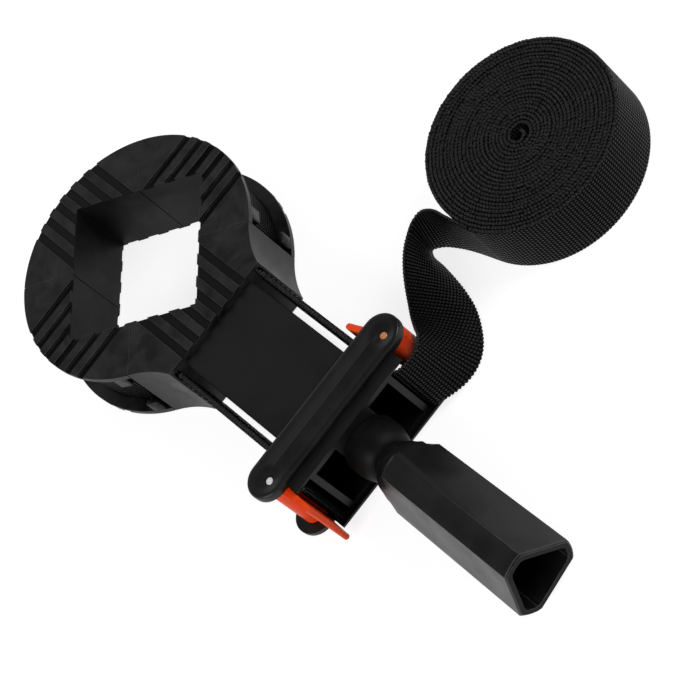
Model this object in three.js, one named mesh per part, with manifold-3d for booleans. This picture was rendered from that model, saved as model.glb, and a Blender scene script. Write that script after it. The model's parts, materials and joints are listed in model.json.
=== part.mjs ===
// A strap band clamp for frames and boxes: four corner jaws, a webbing strap round them, a box
// housing whose screw pushes the head jaw out, and two toothed cam levers that lock the strap.
// Millimetres, +Z up as the tool lies on a bench, +X along the screw towards the handle.
// The origin is on the underside of the rear plate, midway between the two cam pins.

import * as THREE from "three";
import { mergeVertices } from "three/addons/utils/BufferGeometryUtils.js";
import Module from "manifold-3d";

const wasm = await Module();
wasm.setup();

// Clearances
const SEAT_GAP = 0.3; // between pieces that seat on each other
const OVERRUN = 2; // how far every cut runs past what it cuts

// Webbing strap
const STRAP_WIDTH = 25;
const STRAP_THICKNESS = 1;
const CHANNEL_CLEARANCE = 0.25; // beside each edge of the strap, between the flanges

// Ring of corner jaws, whose hole is a square standing on its corner
const RING_RADIUS = 47.5;
const CHANNEL_DEPTH = 6; // from the flanges' rim to where the strap lies on a jaw
const CORNER_DEPTH = 3.9; // from where the strap lies to the corner of the hole
const SEAM_GAP = 0.3;
const SEAT_WALL = 2;
const JAW_WALL = 2.5; // the V wall that the work touches
const FLANGE_THICKNESS = 2.05;
const GROOVE_DEPTH = 0.75;
const GROOVE_COUNT = 6;
const GROOVE_WIDTH_SHARE = 0.5; // of the groove pitch
const TAB_LIFT = 0.6; // from the strap's outer face to a retaining tab
const TAB_THICKNESS = 1.6;
const TAB_DEPTH = 3;
const TAB_LENGTH = 4.5;
const TAB_END_DISTANCE = 5; // from the seam to the tab's middle

// Head jaw
const HEAD_SETBACK = 0.5; // from where the strap runs straight to the jaw's flat edge
const WING_THICKNESS = 1.5;
const WING_HOLLOW = 1.1; // how far the wing's side is drawn in
const SOCKET_WALL = 2.2; // round the plunger
const HEAD_TO_BOX_GAP = 1.2;

// Box housing
const BOX_FRONT_X = -64.3;
const BOX_REAR_X = 11;
const BOX_HALF_WIDTH = 18;
const BOX_HALF_DEPTH = 12.65;
const BOX_EDGE_RADIUS = 0.8;
const ANVIL_HALF_WIDTH = 21.2; // the pads that the cams press the strap against
const ANVIL_FRONT_X = -9;
const THRUST_WALL_FRONT_X = -12;
const REAR_POCKET_INNER_Y = 8.6;
const REAR_POCKET_OUTER_Y = 18.8;
const REAR_POCKET_HALF_DEPTH = 11.75;
const REAR_POCKET_LENGTH = 18;
const EAR_HALF_WIDTH = 27.5; // the webs that carry the plates
const LOWER_EAR_REACH = 2.2; // how far the lower web stands out behind the box
const EAR_FRONT_X = -7;
const EAR_THICKNESS = 1;

// Obround plates and cam pins
const AXIS_HEIGHT = 15.75; // screw axis above the bench, which is also half the plates' span
const PIN_Y = 30;
const PIN_RADIUS = 1.1;
const PIN_HEAD_RADIUS = 1.5;
const PIN_HEAD_THICKNESS = 0.6;
const PLATE_HALF_WIDTH = 7.4;
const PLATE_EDGE_ROUND = 1.2;
const PLATE_RIDGE_HEIGHT = 0.7;
const PLATE_RIDGE_HALF_WIDTH = 4.3;
const PLATE_RIDGE_HALF_LENGTH = 24.5;
const PLATE_RIDGE_SLOPE = 0.8;
const DISH_RADIUS = 2.2;
const DISH_DEPTH = 0.6;

// Cam levers
const CAM_END_CLEARANCE = 0.35; // from a plate to the cam's end face
const CAM_HUB_RADIUS = 3.7;
const CAM_TOOTH_DEPTH = 0.9;
const CAM_TOOTH_COUNT = 7;
const CAM_NOSE_ANGLE = 110; // degrees of toothed nose
const CAM_NOSE_RISE = 2; // how much less the nose's leading end reaches
const PADDLE_LENGTH = 18.5;
const PADDLE_THICKNESS = 2.2;
const PADDLE_ROOT_THICKNESS = 4.2;
const PADDLE_OFFSET = 0.8;
const LEFT_CAM_ANGLE = 197; // degrees, the lever stands open in the photograph

// Plunger, nut and screw
const PLUNGER_HALF_WIDTH = 12;
const PLUNGER_HALF_DEPTH = 9;
const PLUNGER_WALL = 2.5;
const PLUNGER_FRONT_WALL = 6;
const PLUNGER_REAR_X = -15.6;
const NUT_LENGTH = 8;
const SOCKET_DEPTH = 5.5; // how far the plunger sits in the head jaw
const SCREW_RADIUS = 1.4;
const SCREW_HEAD_RADIUS = 2.8;
const SCREW_HEAD_THICKNESS = 1.8;
const SCREW_LENGTH = 12;

// Spindle and what turns with it
const SPINDLE_RADIUS = 3.9;
const SPINDLE_FRONT_X = -60;
const WASHER_RADIUS = 8;
const WASHER_THICKNESS = 1;
const CLIP_RADIUS = 6.5;
const CLIP_THICKNESS = 1;
const CLIP_MOUTH = 5;
const BOSS_BASE_RADIUS = 10.5;
const BOSS_TOP_RADIUS = 6.5;
const BOSS_HEIGHT = 12.2;
const HANDLE_NUT_RADIUS = 6.5;
const HANDLE_NUT_THICKNESS = 4.5;
const SPINDLE_END_LENGTH = 1.6; // past the handle nut

// Handle, a hollow three-sided grip on a round neck
const NECK_RADIUS = 7.5;
const SHOULDER_RADIUS = 13.5;
const SHOULDER_LENGTH = 10;
const GRIP_LENGTH = 64;
const MOUTH_RADIUS = 14.4;
const GRIP_FLAT_SHARE = 0.74; // a flat's distance from the axis, as a share of the corner radius
const GRIP_FLAT_ANGLE = 40.6; // degrees from +Y towards +Z to the first flat's middle
const GRIP_WALL = 2.3;
const HANDLE_SOLID_LENGTH = 20; // from the neck's end to the hollow's floor
const MOUTH_CHAMFER = 0.6;

// Strap ends, loose stretch and roll
const TAIL_BEND_X = 2;
const TAIL_END_X = 12;
const TAIL_END_Y = 26;
const EXIT_X = 8; // where the loose stretch begins, past the open cam
const ROLL_CENTRE_X = -13;
const ROLL_CENTRE_Y = 110.5;
const ROLL_PITCH = 1.42; // one thickness and a gap
const ROLL_OUTER_RADIUS = 36.3; // at the middle of the outermost turn
const ROLL_START_ANGLE = -78; // degrees, where the loose stretch joins
const ROLL_TURNS = 24;
const ROLL_STEPS_PER_TURN = 24;

// Rulings of the loose stretch, each the plan places of its upper and its lower edge,
// chosen by hand from the cam to the roll
const LOOSE_RULINGS = [
  [8, 22, 8, 22],
  [9.3, 22, 9.4, 22],
  [11.3, 23.6, 12.2, 23.2],
  [12, 27, 14.2, 26.8],
  [11.4, 31.4, 15.8, 31.4],
  [8.6, 35, 16.4, 36.8],
  [4, 37.4, 15, 42.8],
  [-1.2, 38.6, 11, 48.4],
  [-6.2, 40.8, 5, 53],
  [-10.4, 44.2, -1.6, 56.6],
  [-14.4, 48.2, -9, 59],
  [-18.2, 52.6, -16.8, 60.6],
  [-21.6, 57, -24, 61.6],
  [-24.6, 61.6, -30.6, 62.2],
  [-26.8, 66.4, -33, 64],
  [-26.4, 70.6, -30, 67.2],
  [-22.6, 73.2, -23.6, 70.2],
  [-16.6, 73.8, -16.8, 72.4],
];
const LOOSE_STEPS = 60;
const LOOSE_LIFT = 0.4; // lower edge above the bench where it lies
const LOOSE_LEVEL_RULINGS = 2; // rulings that stay level with the run before the strap drops

// Counts that only set how fine the facets are
const ARC_STEPS = 18;
const ROUND_STEPS = 36;
const PIN_STEPS = 20;
const FLAT_STEPS = 6;
const CORNER_STEPS = 5;

// Places that follow from the sizes above
const CHANNEL_HALF = STRAP_WIDTH / 2 + CHANNEL_CLEARANCE;
const SEAT_RADIUS = RING_RADIUS - CHANNEL_DEPTH;
const HOLE_HALF_DIAGONAL = SEAT_RADIUS - CORNER_DEPTH;
const RUN_Y = ANVIL_HALF_WIDTH + SEAT_GAP + STRAP_THICKNESS / 2;
const STRAP_RADIUS = SEAT_RADIUS + SEAT_GAP + STRAP_THICKNESS / 2;
const HEAD_HALF_WIDTH = RUN_Y + STRAP_THICKNESS / 2 + SEAT_GAP + WING_THICKNESS;
const WING_BEND_RADIUS = (STRAP_RADIUS * Math.SQRT1_2 - RUN_Y) / (1 - Math.SQRT1_2);
const WING_BEND_CENTRE = (STRAP_RADIUS + WING_BEND_RADIUS) * Math.SQRT1_2;
const HEAD_LENGTH = WING_BEND_CENTRE - HEAD_SETBACK;
const RING_X = BOX_FRONT_X - HEAD_TO_BOX_GAP - HEAD_LENGTH;
const CAM_REACH = PIN_Y - RUN_Y - STRAP_THICKNESS / 2 - SEAT_GAP;
const EAR_INNER = STRAP_WIDTH / 2 + SEAT_GAP;
const EAR_OUTER = EAR_INNER + EAR_THICKNESS;
const CAM_HALF_HEIGHT = EAR_INNER - CAM_END_CLEARANCE;
const PLUNGER_FRONT_X = RING_X + HEAD_LENGTH - SOCKET_DEPTH;
const SCREW_X = PLUNGER_FRONT_X + SOCKET_DEPTH / 2;
const SPINDLE_BORE = SPINDLE_RADIUS + SEAT_GAP;
const BOSS_X = BOX_REAR_X + SEAT_GAP;
const NECK_X = BOSS_X + BOSS_HEIGHT + SEAT_GAP;
const SHOULDER_X = NECK_X + SHOULDER_LENGTH;
const MOUTH_X = SHOULDER_X + GRIP_LENGTH;
const HOLLOW_X = NECK_X + HANDLE_SOLID_LENGTH;
const HANDLE_NUT_X = HOLLOW_X + SEAT_GAP;
const SPINDLE_REAR_X = HANDLE_NUT_X + HANDLE_NUT_THICKNESS + SPINDLE_END_LENGTH;
const WASHER_X = THRUST_WALL_FRONT_X - SEAT_GAP - WASHER_THICKNESS;
const CLIP_X = WASHER_X - SEAT_GAP - CLIP_THICKNESS;

const radians = THREE.MathUtils.degToRad;
const ALONG_X = new THREE.Matrix4().makeBasis(
  new THREE.Vector3(0, 1, 0), new THREE.Vector3(0, 0, 1), new THREE.Vector3(1, 0, 0));

// Solids: geometry in, joined or cut, geometry out

/** A closed geometry as a solid, with its faces turned outwards. */
function solid(geometry) {
  const bare = geometry.clone();
  bare.deleteAttribute("normal");
  bare.deleteAttribute("uv");
  const merged = mergeVertices(bare);
  const place = merged.getAttribute("position");
  const index = merged.getIndex().array;
  const corners = [new THREE.Vector3(), new THREE.Vector3(), new THREE.Vector3()];
  const triangles = [];
  let volume = 0;
  for (let start = 0; start < index.length; start += 3) {
    const [a, b, c] = index.slice(start, start + 3);
    if (a === b || b === c || c === a) continue;
    triangles.push(a, b, c);
    [a, b, c].forEach((vertex, corner) => corners[corner].fromBufferAttribute(place, vertex));
    volume += corners[0].dot(corners[1].cross(corners[2]));
  }
  if (volume < 0) triangles.reverse();
  return new wasm.Manifold(new wasm.Mesh({
    numProp: 3,
    vertProperties: new Float32Array(place.array),
    triVerts: new Uint32Array(triangles),
  }));
}

/** A block between two opposite corners. */
function block(low, high) {
  const size = high.map((value, axis) => value - low[axis]);
  const geometry = new THREE.BoxGeometry(...size);
  geometry.translate(...low.map((value, axis) => value + size[axis] / 2));
  return solid(geometry);
}

/** An outline drawn in plan, from one height to another. */
function prism(outline, low, high, curveSegments = ARC_STEPS) {
  const geometry = new THREE.ExtrudeGeometry(
    outline, { depth: high - low, bevelEnabled: false, curveSegments });
  geometry.translate(0, 0, low);
  return solid(geometry);
}

/** An outline drawn across the screw axis, its x along +Y and its y along +Z. */
function prismAlongX(outline, front, rear) {
  const geometry = new THREE.ExtrudeGeometry(
    outline, { depth: rear - front, bevelEnabled: false, curveSegments: CORNER_STEPS });
  geometry.translate(0, 0, front);
  geometry.applyMatrix4(ALONG_X);
  return solid(geometry);
}

/** A profile of [radius, distance along the axis] points turned about +Z. */
function turnedGeometry(profile, steps) {
  const points = profile.map(([radius, along]) => new THREE.Vector2(radius, along));
  const onAxis = profile[0][0] === 0 && profile[profile.length - 1][0] === 0;
  if (!onAxis) points.push(points[0].clone());
  return new THREE.LatheGeometry(points, steps).rotateX(Math.PI / 2);
}

/** A turned solid about +Z at a place in plan. */
function turned(profile, x = 0, y = 0) {
  return solid(turnedGeometry(profile, PIN_STEPS).translate(x, y, 0));
}

/** A turned solid about the screw axis. */
function turnedAlongX(profile) {
  return solid(turnedGeometry(profile, ROUND_STEPS).applyMatrix4(ALONG_X));
}

/** A plain rod about +Z. */
function rod(radius, low, high, x = 0, y = 0) {
  return turned([[0, low], [radius, low], [radius, high], [0, high]], x, y);
}

/** A plain rod about the screw axis. */
function rodAlongX(radius, front, rear) {
  return turnedAlongX([[0, front], [radius, front], [radius, rear], [0, rear]]);
}

/** A solid through convex rings of points, each with as many points as the last. */
function loft(rings) {
  const count = rings[0].length;
  const index = [];
  for (let ring = 0; ring < rings.length - 1; ring += 1) {
    for (let point = 0; point < count; point += 1) {
      const next = (point + 1) % count;
      const [a, b] = [ring * count + point, ring * count + next];
      index.push(a, b, b + count, a, b + count, a + count);
    }
  }
  const last = (rings.length - 1) * count;
  for (let point = 1; point < count - 1; point += 1) {
    index.push(0, point + 1, point);
    index.push(last, last + point, last + point + 1);
  }
  const geometry = new THREE.BufferGeometry();
  geometry.setAttribute("position", new THREE.Float32BufferAttribute(
    rings.flat().flatMap((point) => point.toArray()), 3));
  geometry.setIndex(index);
  return solid(geometry);
}

/** A named mesh from a solid. */
function part(name, body, material) {
  const { vertProperties, triVerts } = body.getMesh();
  const geometry = new THREE.BufferGeometry();
  geometry.setAttribute("position", new THREE.BufferAttribute(vertProperties, 3));
  geometry.setIndex(new THREE.BufferAttribute(triVerts, 1));
  geometry.computeVertexNormals();
  const mesh = new THREE.Mesh(geometry, material);
  mesh.name = name;
  return mesh;
}

// Outlines

/** A closed outline through plan points. */
function polygon(points) {
  return new THREE.Shape(points.map(([x, y]) => new THREE.Vector2(x, y)));
}

/** A square standing on its corner. */
function diamond(halfDiagonal) {
  const reach = halfDiagonal;
  return polygon([[reach, 0], [0, reach], [-reach, 0], [0, -reach]]);
}

/** A rectangle with round corners, centred on the origin. */
function roundedRectangle(halfWidth, halfHeight, radius) {
  const shape = new THREE.Shape();
  const [x, y] = [halfWidth - radius, halfHeight - radius];
  [[x, y], [-x, y], [-x, -y], [x, -y]].forEach(([centreX, centreY], corner) => {
    const start = corner * Math.PI / 2;
    shape.absarc(centreX, centreY, radius, start, start + Math.PI / 2);
  });
  return shape;
}

/** How far a quarter's sides stop short of 45 degrees to leave half of the seam's gap. */
function quarterAngle(radius, seam) {
  return Math.PI / 4 - Math.asin(seam / 2 / radius);
}

/** A quarter of a disc about +X, drawn back from its neighbours by half of a seam's gap. */
function quarter(radius) {
  const angle = quarterAngle(radius, SEAM_GAP);
  const shape = new THREE.Shape();
  shape.moveTo(SEAM_GAP * Math.SQRT1_2, 0);
  shape.lineTo(radius * Math.cos(angle), -radius * Math.sin(angle));
  shape.absarc(0, 0, radius, -angle, angle);
  return shape;
}

// Corner jaws

/** Grooves that run outwards across one face of a jaw. */
function grooves(reach) {
  const pitch = HOLE_HALF_DIAGONAL / GROOVE_COUNT;
  const half = pitch * GROOVE_WIDTH_SHARE / 2;
  const face = CHANNEL_HALF + FLANGE_THICKNESS;
  const cuts = [];
  for (let groove = 0; groove < GROOVE_COUNT; groove += 1) {
    const middle = (groove + 0.5) * pitch - HOLE_HALF_DIAGONAL / 2;
    cuts.push(block([0, middle - half, face - GROOVE_DEPTH], [reach, middle + half, face + OVERRUN]));
    cuts.push(block([0, middle - half, -face - OVERRUN], [reach, middle + half, GROOVE_DEPTH - face]));
  }
  return cuts;
}

/** Small hooks under both flanges that keep a slack strap in its channel. */
function retainingTabs() {
  const inner = STRAP_RADIUS + STRAP_THICKNESS / 2 + TAB_LIFT;
  const outer = inner + TAB_THICKNESS;
  const half = TAB_LENGTH / 2 / inner;
  const middle = Math.PI / 4 - TAB_END_DISTANCE / inner;
  const tabs = [];
  for (const side of [-1, 1]) {
    const shape = new THREE.Shape();
    shape.absarc(0, 0, outer, side * middle - half, side * middle + half);
    shape.absarc(0, 0, inner, side * middle + half, side * middle - half, true);
    tabs.push(prism(shape, CHANNEL_HALF - TAB_DEPTH, CHANNEL_HALF + FLANGE_THICKNESS / 2, 2));
    tabs.push(prism(shape, -CHANNEL_HALF - FLANGE_THICKNESS / 2, TAB_DEPTH - CHANNEL_HALF, 2));
  }
  return tabs;
}

/** One corner jaw about +X: two grooved flanges, the strap's seat and the V wall. */
function cornerJaw() {
  const face = CHANNEL_HALF + FLANGE_THICKNESS;
  const wallDiagonal = HOLE_HALF_DIAGONAL + JAW_WALL * Math.SQRT2;
  const lightening = prism(disc(SEAT_RADIUS - SEAT_WALL), -CHANNEL_HALF, CHANNEL_HALF)
    .subtract(prism(diamond(wallDiagonal), -face, face));
  let jaw = prism(quarter(SEAT_RADIUS), -face, face)
    .add(prism(quarter(RING_RADIUS), CHANNEL_HALF, face))
    .add(prism(quarter(RING_RADIUS), -face, -CHANNEL_HALF))
    .subtract(lightening)
    .subtract(prism(diamond(HOLE_HALF_DIAGONAL), -face - OVERRUN, face + OVERRUN));
  for (const tab of retainingTabs()) jaw = jaw.add(tab);
  for (const cut of grooves(RING_RADIUS + OVERRUN)) jaw = jaw.subtract(cut);
  return jaw;
}

/** A full disc outline. */
function disc(radius) {
  const shape = new THREE.Shape();
  for (let side = 0; side < 4; side += 1) {
    shape.absarc(0, 0, radius, side * Math.PI / 2, (side + 1) * Math.PI / 2);
  }
  return shape;
}

/** The head jaw's flange: a quarter of the ring that draws in to a straight edge. */
function headOutline(rim, halfWidth, length, seam) {
  const angle = quarterAngle(rim, seam);
  const start = new THREE.Vector2(Math.cos(angle), Math.sin(angle)).multiplyScalar(rim);
  const end = new THREE.Vector2(length, halfWidth);
  const inward = new THREE.Vector2(end.y - start.y, start.x - end.x).normalize();
  const pull = start.clone().add(end).multiplyScalar(0.5)
    .addScaledVector(inward, 2 * WING_HOLLOW);
  const shape = new THREE.Shape();
  shape.moveTo(seam * Math.SQRT1_2, 0);
  shape.lineTo(start.x, -start.y);
  shape.quadraticCurveTo(pull.x, -pull.y, end.x, -end.y);
  shape.lineTo(end.x, end.y);
  shape.quadraticCurveTo(pull.x, pull.y, start.x, start.y);
  return shape;
}

/** What lies inside the strap as it leaves the ring and straightens towards the housing. */
function headCoreOutline(inset, seam) {
  const seat = SEAT_RADIUS - inset;
  const angle = quarterAngle(seat, seam);
  const bend = WING_BEND_RADIUS + STRAP_THICKNESS / 2 + SEAT_GAP + inset;
  const far = Math.max(WING_BEND_CENTRE, HEAD_LENGTH) + OVERRUN;
  const shape = new THREE.Shape();
  shape.moveTo(seam * Math.SQRT1_2, 0);
  shape.lineTo(seat * Math.cos(angle), -seat * Math.sin(angle));
  shape.absarc(WING_BEND_CENTRE, -WING_BEND_CENTRE, bend, Math.PI * 3 / 4, Math.PI / 2, true);
  shape.lineTo(far, bend - WING_BEND_CENTRE);
  shape.lineTo(far, WING_BEND_CENTRE - bend);
  shape.absarc(WING_BEND_CENTRE, WING_BEND_CENTRE, bend, -Math.PI / 2, -Math.PI * 3 / 4, true);
  shape.lineTo(seat * Math.cos(angle), seat * Math.sin(angle));
  return shape;
}

/** The jaw on the plunger, with two wings that guide the strap to the housing. */
function headJaw() {
  const face = CHANNEL_HALF + FLANGE_THICKNESS;
  const rim = RING_RADIUS;
  const wallDiagonal = HOLE_HALF_DIAGONAL + JAW_WALL * Math.SQRT2;
  const socketHalfWidth = PLUNGER_HALF_WIDTH + SEAT_GAP;
  const flange = headOutline(rim, HEAD_HALF_WIDTH, HEAD_LENGTH, SEAM_GAP);
  const behindWings = headOutline(
    rim - WING_THICKNESS, HEAD_HALF_WIDTH - WING_THICKNESS, HEAD_LENGTH + OVERRUN, -OVERRUN);
  const wings = prism(flange, -face, face).subtract(prism(behindWings, -CHANNEL_HALF, CHANNEL_HALF));
  const beforeEdge = block([0, -rim, -face], [HEAD_LENGTH, rim, face]);
  const core = prism(headCoreOutline(0, SEAM_GAP), -face, face).intersect(beforeEdge);
  const lightening = prism(headCoreOutline(SEAT_WALL, -OVERRUN), -CHANNEL_HALF, CHANNEL_HALF)
    .intersect(block([0, -rim, -face], [HEAD_LENGTH - JAW_WALL, rim, face]))
    .subtract(prism(diamond(wallDiagonal), -face, face))
    .subtract(block([0, -socketHalfWidth - SOCKET_WALL, -face],
      [HEAD_LENGTH, socketHalfWidth + SOCKET_WALL, face]));
  const socketDepth = PLUNGER_HALF_DEPTH + SEAT_GAP;
  const socket = block([HEAD_LENGTH - SOCKET_DEPTH - SEAT_GAP, -socketHalfWidth, -socketDepth],
    [HEAD_LENGTH + OVERRUN, socketHalfWidth, socketDepth]);
  let jaw = wings.add(core)
    .subtract(lightening)
    .subtract(socket)
    .subtract(prism(diamond(HOLE_HALF_DIAGONAL), -face - OVERRUN, face + OVERRUN));
  for (const cut of grooves(HEAD_LENGTH + OVERRUN)) jaw = jaw.subtract(cut);
  const screwPlace = SCREW_X - RING_X;
  const headSeat = GROOVE_DEPTH + SEAT_GAP + SCREW_HEAD_THICKNESS - face;
  return jaw
    .subtract(rod(SCREW_RADIUS + SEAT_GAP, -face - OVERRUN, 0, screwPlace))
    .subtract(rod(SCREW_HEAD_RADIUS + SEAT_GAP, -face - OVERRUN, headSeat + SEAT_GAP, screwPlace));
}

// Strap

/** A band on edge along plan points, from one height to another. */
function band(points, low, high) {
  const half = STRAP_THICKNESS / 2;
  const rings = points.map((point, step) => {
    const before = points[Math.max(step - 1, 0)];
    const after = points[Math.min(step + 1, points.length - 1)];
    const side = new THREE.Vector2(before.y - after.y, after.x - before.x).setLength(half);
    return [[side, low], [side, high], [side.clone().negate(), high], [side.clone().negate(), low]]
      .map(([offset, z]) => new THREE.Vector3(point.x + offset.x, point.y + offset.y, z));
  });
  return loft(rings);
}

/** Plan points on an arc, in degrees. */
function arcPoints(centreX, centreY, radius, from, to, steps) {
  const points = [];
  for (let step = 0; step <= steps; step += 1) {
    const angle = radians(from + (to - from) * step / steps);
    points.push(new THREE.Vector2(
      centreX + radius * Math.cos(angle), centreY + radius * Math.sin(angle)));
  }
  return points;
}

/** The strap over one corner jaw. */
function jawBand() {
  const reach = THREE.MathUtils.radToDeg(quarterAngle(STRAP_RADIUS, SEAM_GAP));
  const points = arcPoints(0, 0, STRAP_RADIUS, -reach, reach, ARC_STEPS);
  return band(points, -STRAP_WIDTH / 2, STRAP_WIDTH / 2);
}

/** The strap under the head jaw's wing on the +Y side. */
function wingBand() {
  const seam = THREE.MathUtils.radToDeg(SEAM_GAP / 2 / WING_BEND_RADIUS);
  const points = arcPoints(
    WING_BEND_CENTRE, WING_BEND_CENTRE, WING_BEND_RADIUS, 225 + seam, 270, ARC_STEPS / 2);
  return band(points, -STRAP_WIDTH / 2, STRAP_WIDTH / 2);
}

/** A straight run beside the box, which may end in a tail that springs outwards. */
function runBand(rear, tail) {
  const start = RING_X + WING_BEND_CENTRE + SEAT_GAP;
  const points = [new THREE.Vector2(start, RUN_Y), new THREE.Vector2(rear, RUN_Y)];
  if (tail) {
    const bend = new THREE.QuadraticBezierCurve(
      new THREE.Vector2(rear, RUN_Y),
      new THREE.Vector2((rear + TAIL_END_X) / 2, RUN_Y),
      new THREE.Vector2(TAIL_END_X, TAIL_END_Y));
    points.push(...bend.getPoints(FLAT_STEPS).slice(1));
  }
  return band(points, -STRAP_WIDTH / 2, STRAP_WIDTH / 2);
}

/** The roll of spare strap: one spiral, wound inwards from where the loose stretch joins. */
function rollPoints() {
  const points = [];
  for (let step = 0; step <= ROLL_TURNS * ROLL_STEPS_PER_TURN; step += 1) {
    const turns = step / ROLL_STEPS_PER_TURN;
    const angle = radians(ROLL_START_ANGLE + 360 * turns);
    const radius = ROLL_OUTER_RADIUS - ROLL_PITCH * turns;
    points.push(new THREE.Vector2(
      ROLL_CENTRE_X + radius * Math.cos(angle), ROLL_CENTRE_Y + radius * Math.sin(angle)));
  }
  return points;
}

/** The least gap from each point of the spiral to the turn inside it, less the thickness. */
function leastRollGap(points) {
  let least = Infinity;
  const nearest = new THREE.Vector3();
  for (let step = 0; step + ROLL_STEPS_PER_TURN + 1 < points.length; step += 1) {
    const [x, y] = points[step].toArray();
    for (const side of [0, 1]) {
      const inner = [points[step + ROLL_STEPS_PER_TURN - side],
        points[step + ROLL_STEPS_PER_TURN + 1 - side]];
      const [from, to] = inner.map((point) => new THREE.Vector3(point.x, point.y, 0));
      new THREE.Line3(from, to).closestPointToPoint(new THREE.Vector3(x, y, 0), true, nearest);
      least = Math.min(least, Math.hypot(nearest.x - x, nearest.y - y) - STRAP_THICKNESS);
    }
  }
  return least;
}

/** The loose stretch, which leans and twists on its way from the cam to the roll. */
function looseBand() {
  const startLow = AXIS_HEIGHT - STRAP_WIDTH / 2;
  const count = LOOSE_RULINGS.length;
  const upper = [];
  const lower = [];
  LOOSE_RULINGS.forEach(([upperX, upperY, lowerX, lowerY], ruling) => {
    const drop = THREE.MathUtils.smoothstep(ruling, LOOSE_LEVEL_RULINGS, count / 2);
    const low = THREE.MathUtils.lerp(startLow, LOOSE_LIFT, drop);
    const plan = Math.hypot(upperX - lowerX, upperY - lowerY);
    lower.push(new THREE.Vector3(lowerX, lowerY, low));
    upper.push(new THREE.Vector3(upperX, upperY, low + Math.sqrt(STRAP_WIDTH ** 2 - plan ** 2)));
  });
  const join = radians(ROLL_START_ANGLE);
  const joinX = ROLL_CENTRE_X + ROLL_OUTER_RADIUS * Math.cos(join) - SEAT_GAP;
  const joinY = ROLL_CENTRE_Y + ROLL_OUTER_RADIUS * Math.sin(join);
  lower.push(new THREE.Vector3(joinX, joinY, LOOSE_LIFT));
  upper.push(new THREE.Vector3(joinX, joinY, LOOSE_LIFT + STRAP_WIDTH));
  const top = new THREE.CatmullRomCurve3(upper);
  const foot = new THREE.CatmullRomCurve3(lower);
  const rings = [];
  for (let step = 0; step <= LOOSE_STEPS; step += 1) {
    const along = step / LOOSE_STEPS;
    const [high, low] = [top.getPoint(along), foot.getPoint(along)];
    const middle = high.clone().add(low).multiplyScalar(0.5);
    const width = high.clone().sub(low).setLength(STRAP_WIDTH / 2);
    const travel = top.getTangent(along).add(foot.getTangent(along));
    const face = travel.cross(width).setLength(STRAP_THICKNESS / 2);
    rings.push([[1, -1], [1, 1], [-1, 1], [-1, -1]].map(([across, through]) => middle.clone()
      .addScaledVector(width, across).addScaledVector(face, through)));
  }
  return loft(rings);
}

// Housing, plates and pins

/** The box with its plunger cavity, thrust wall, strap pads, plate ears and open rear pockets. */
function housingBody() {
  let body = prismAlongX(
    roundedRectangle(BOX_HALF_WIDTH, BOX_HALF_DEPTH, BOX_EDGE_RADIUS), BOX_FRONT_X, BOX_REAR_X);
  body = body.add(block([ANVIL_FRONT_X, -ANVIL_HALF_WIDTH, -BOX_HALF_DEPTH],
    [BOX_REAR_X, ANVIL_HALF_WIDTH, BOX_HALF_DEPTH]));
  const core = BOX_HALF_DEPTH - BOX_EDGE_RADIUS;
  for (const side of [-1, 1]) {
    const [low, high] = [side * EAR_INNER, side * EAR_OUTER].sort((a, b) => a - b);
    const [padLow, padHigh] = [side * core, side * EAR_OUTER].sort((a, b) => a - b);
    const rear = BOX_REAR_X + (side < 0 ? LOWER_EAR_REACH : 0);
    body = body.add(block([EAR_FRONT_X, -EAR_HALF_WIDTH, low], [rear, EAR_HALF_WIDTH, high]));
    body = body.add(
      block([EAR_FRONT_X, -ANVIL_HALF_WIDTH, padLow], [BOX_REAR_X, ANVIL_HALF_WIDTH, padHigh]));
  }
  const cavityHalf = PLUNGER_HALF_WIDTH + SEAT_GAP;
  const cavityDepth = PLUNGER_HALF_DEPTH + SEAT_GAP;
  body = body.subtract(block([BOX_FRONT_X - OVERRUN, -cavityHalf, -cavityDepth],
    [THRUST_WALL_FRONT_X, cavityHalf, cavityDepth]));
  for (const side of [-1, 1]) {
    const [low, high] = [side * REAR_POCKET_INNER_Y, side * REAR_POCKET_OUTER_Y]
      .sort((a, b) => a - b);
    body = body.subtract(block([BOX_REAR_X - REAR_POCKET_LENGTH, low, -REAR_POCKET_HALF_DEPTH],
      [BOX_REAR_X + OVERRUN, high, REAR_POCKET_HALF_DEPTH]));
  }
  return body.subtract(
    rodAlongX(SPINDLE_BORE, THRUST_WALL_FRONT_X - OVERRUN, BOX_REAR_X + OVERRUN));
}

/** An obround ring of points about +Z, its long side along Y. */
function obroundRing(halfLength, radius, z) {
  const points = [];
  for (const side of [0, 1]) {
    const centreY = (side ? -1 : 1) * (halfLength - radius);
    for (let step = 0; step <= ARC_STEPS; step += 1) {
      const angle = (side + step / ARC_STEPS) * Math.PI;
      points.push(new THREE.Vector3(
        radius * Math.cos(angle), centreY + radius * Math.sin(angle), z));
    }
  }
  return points;
}

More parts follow.
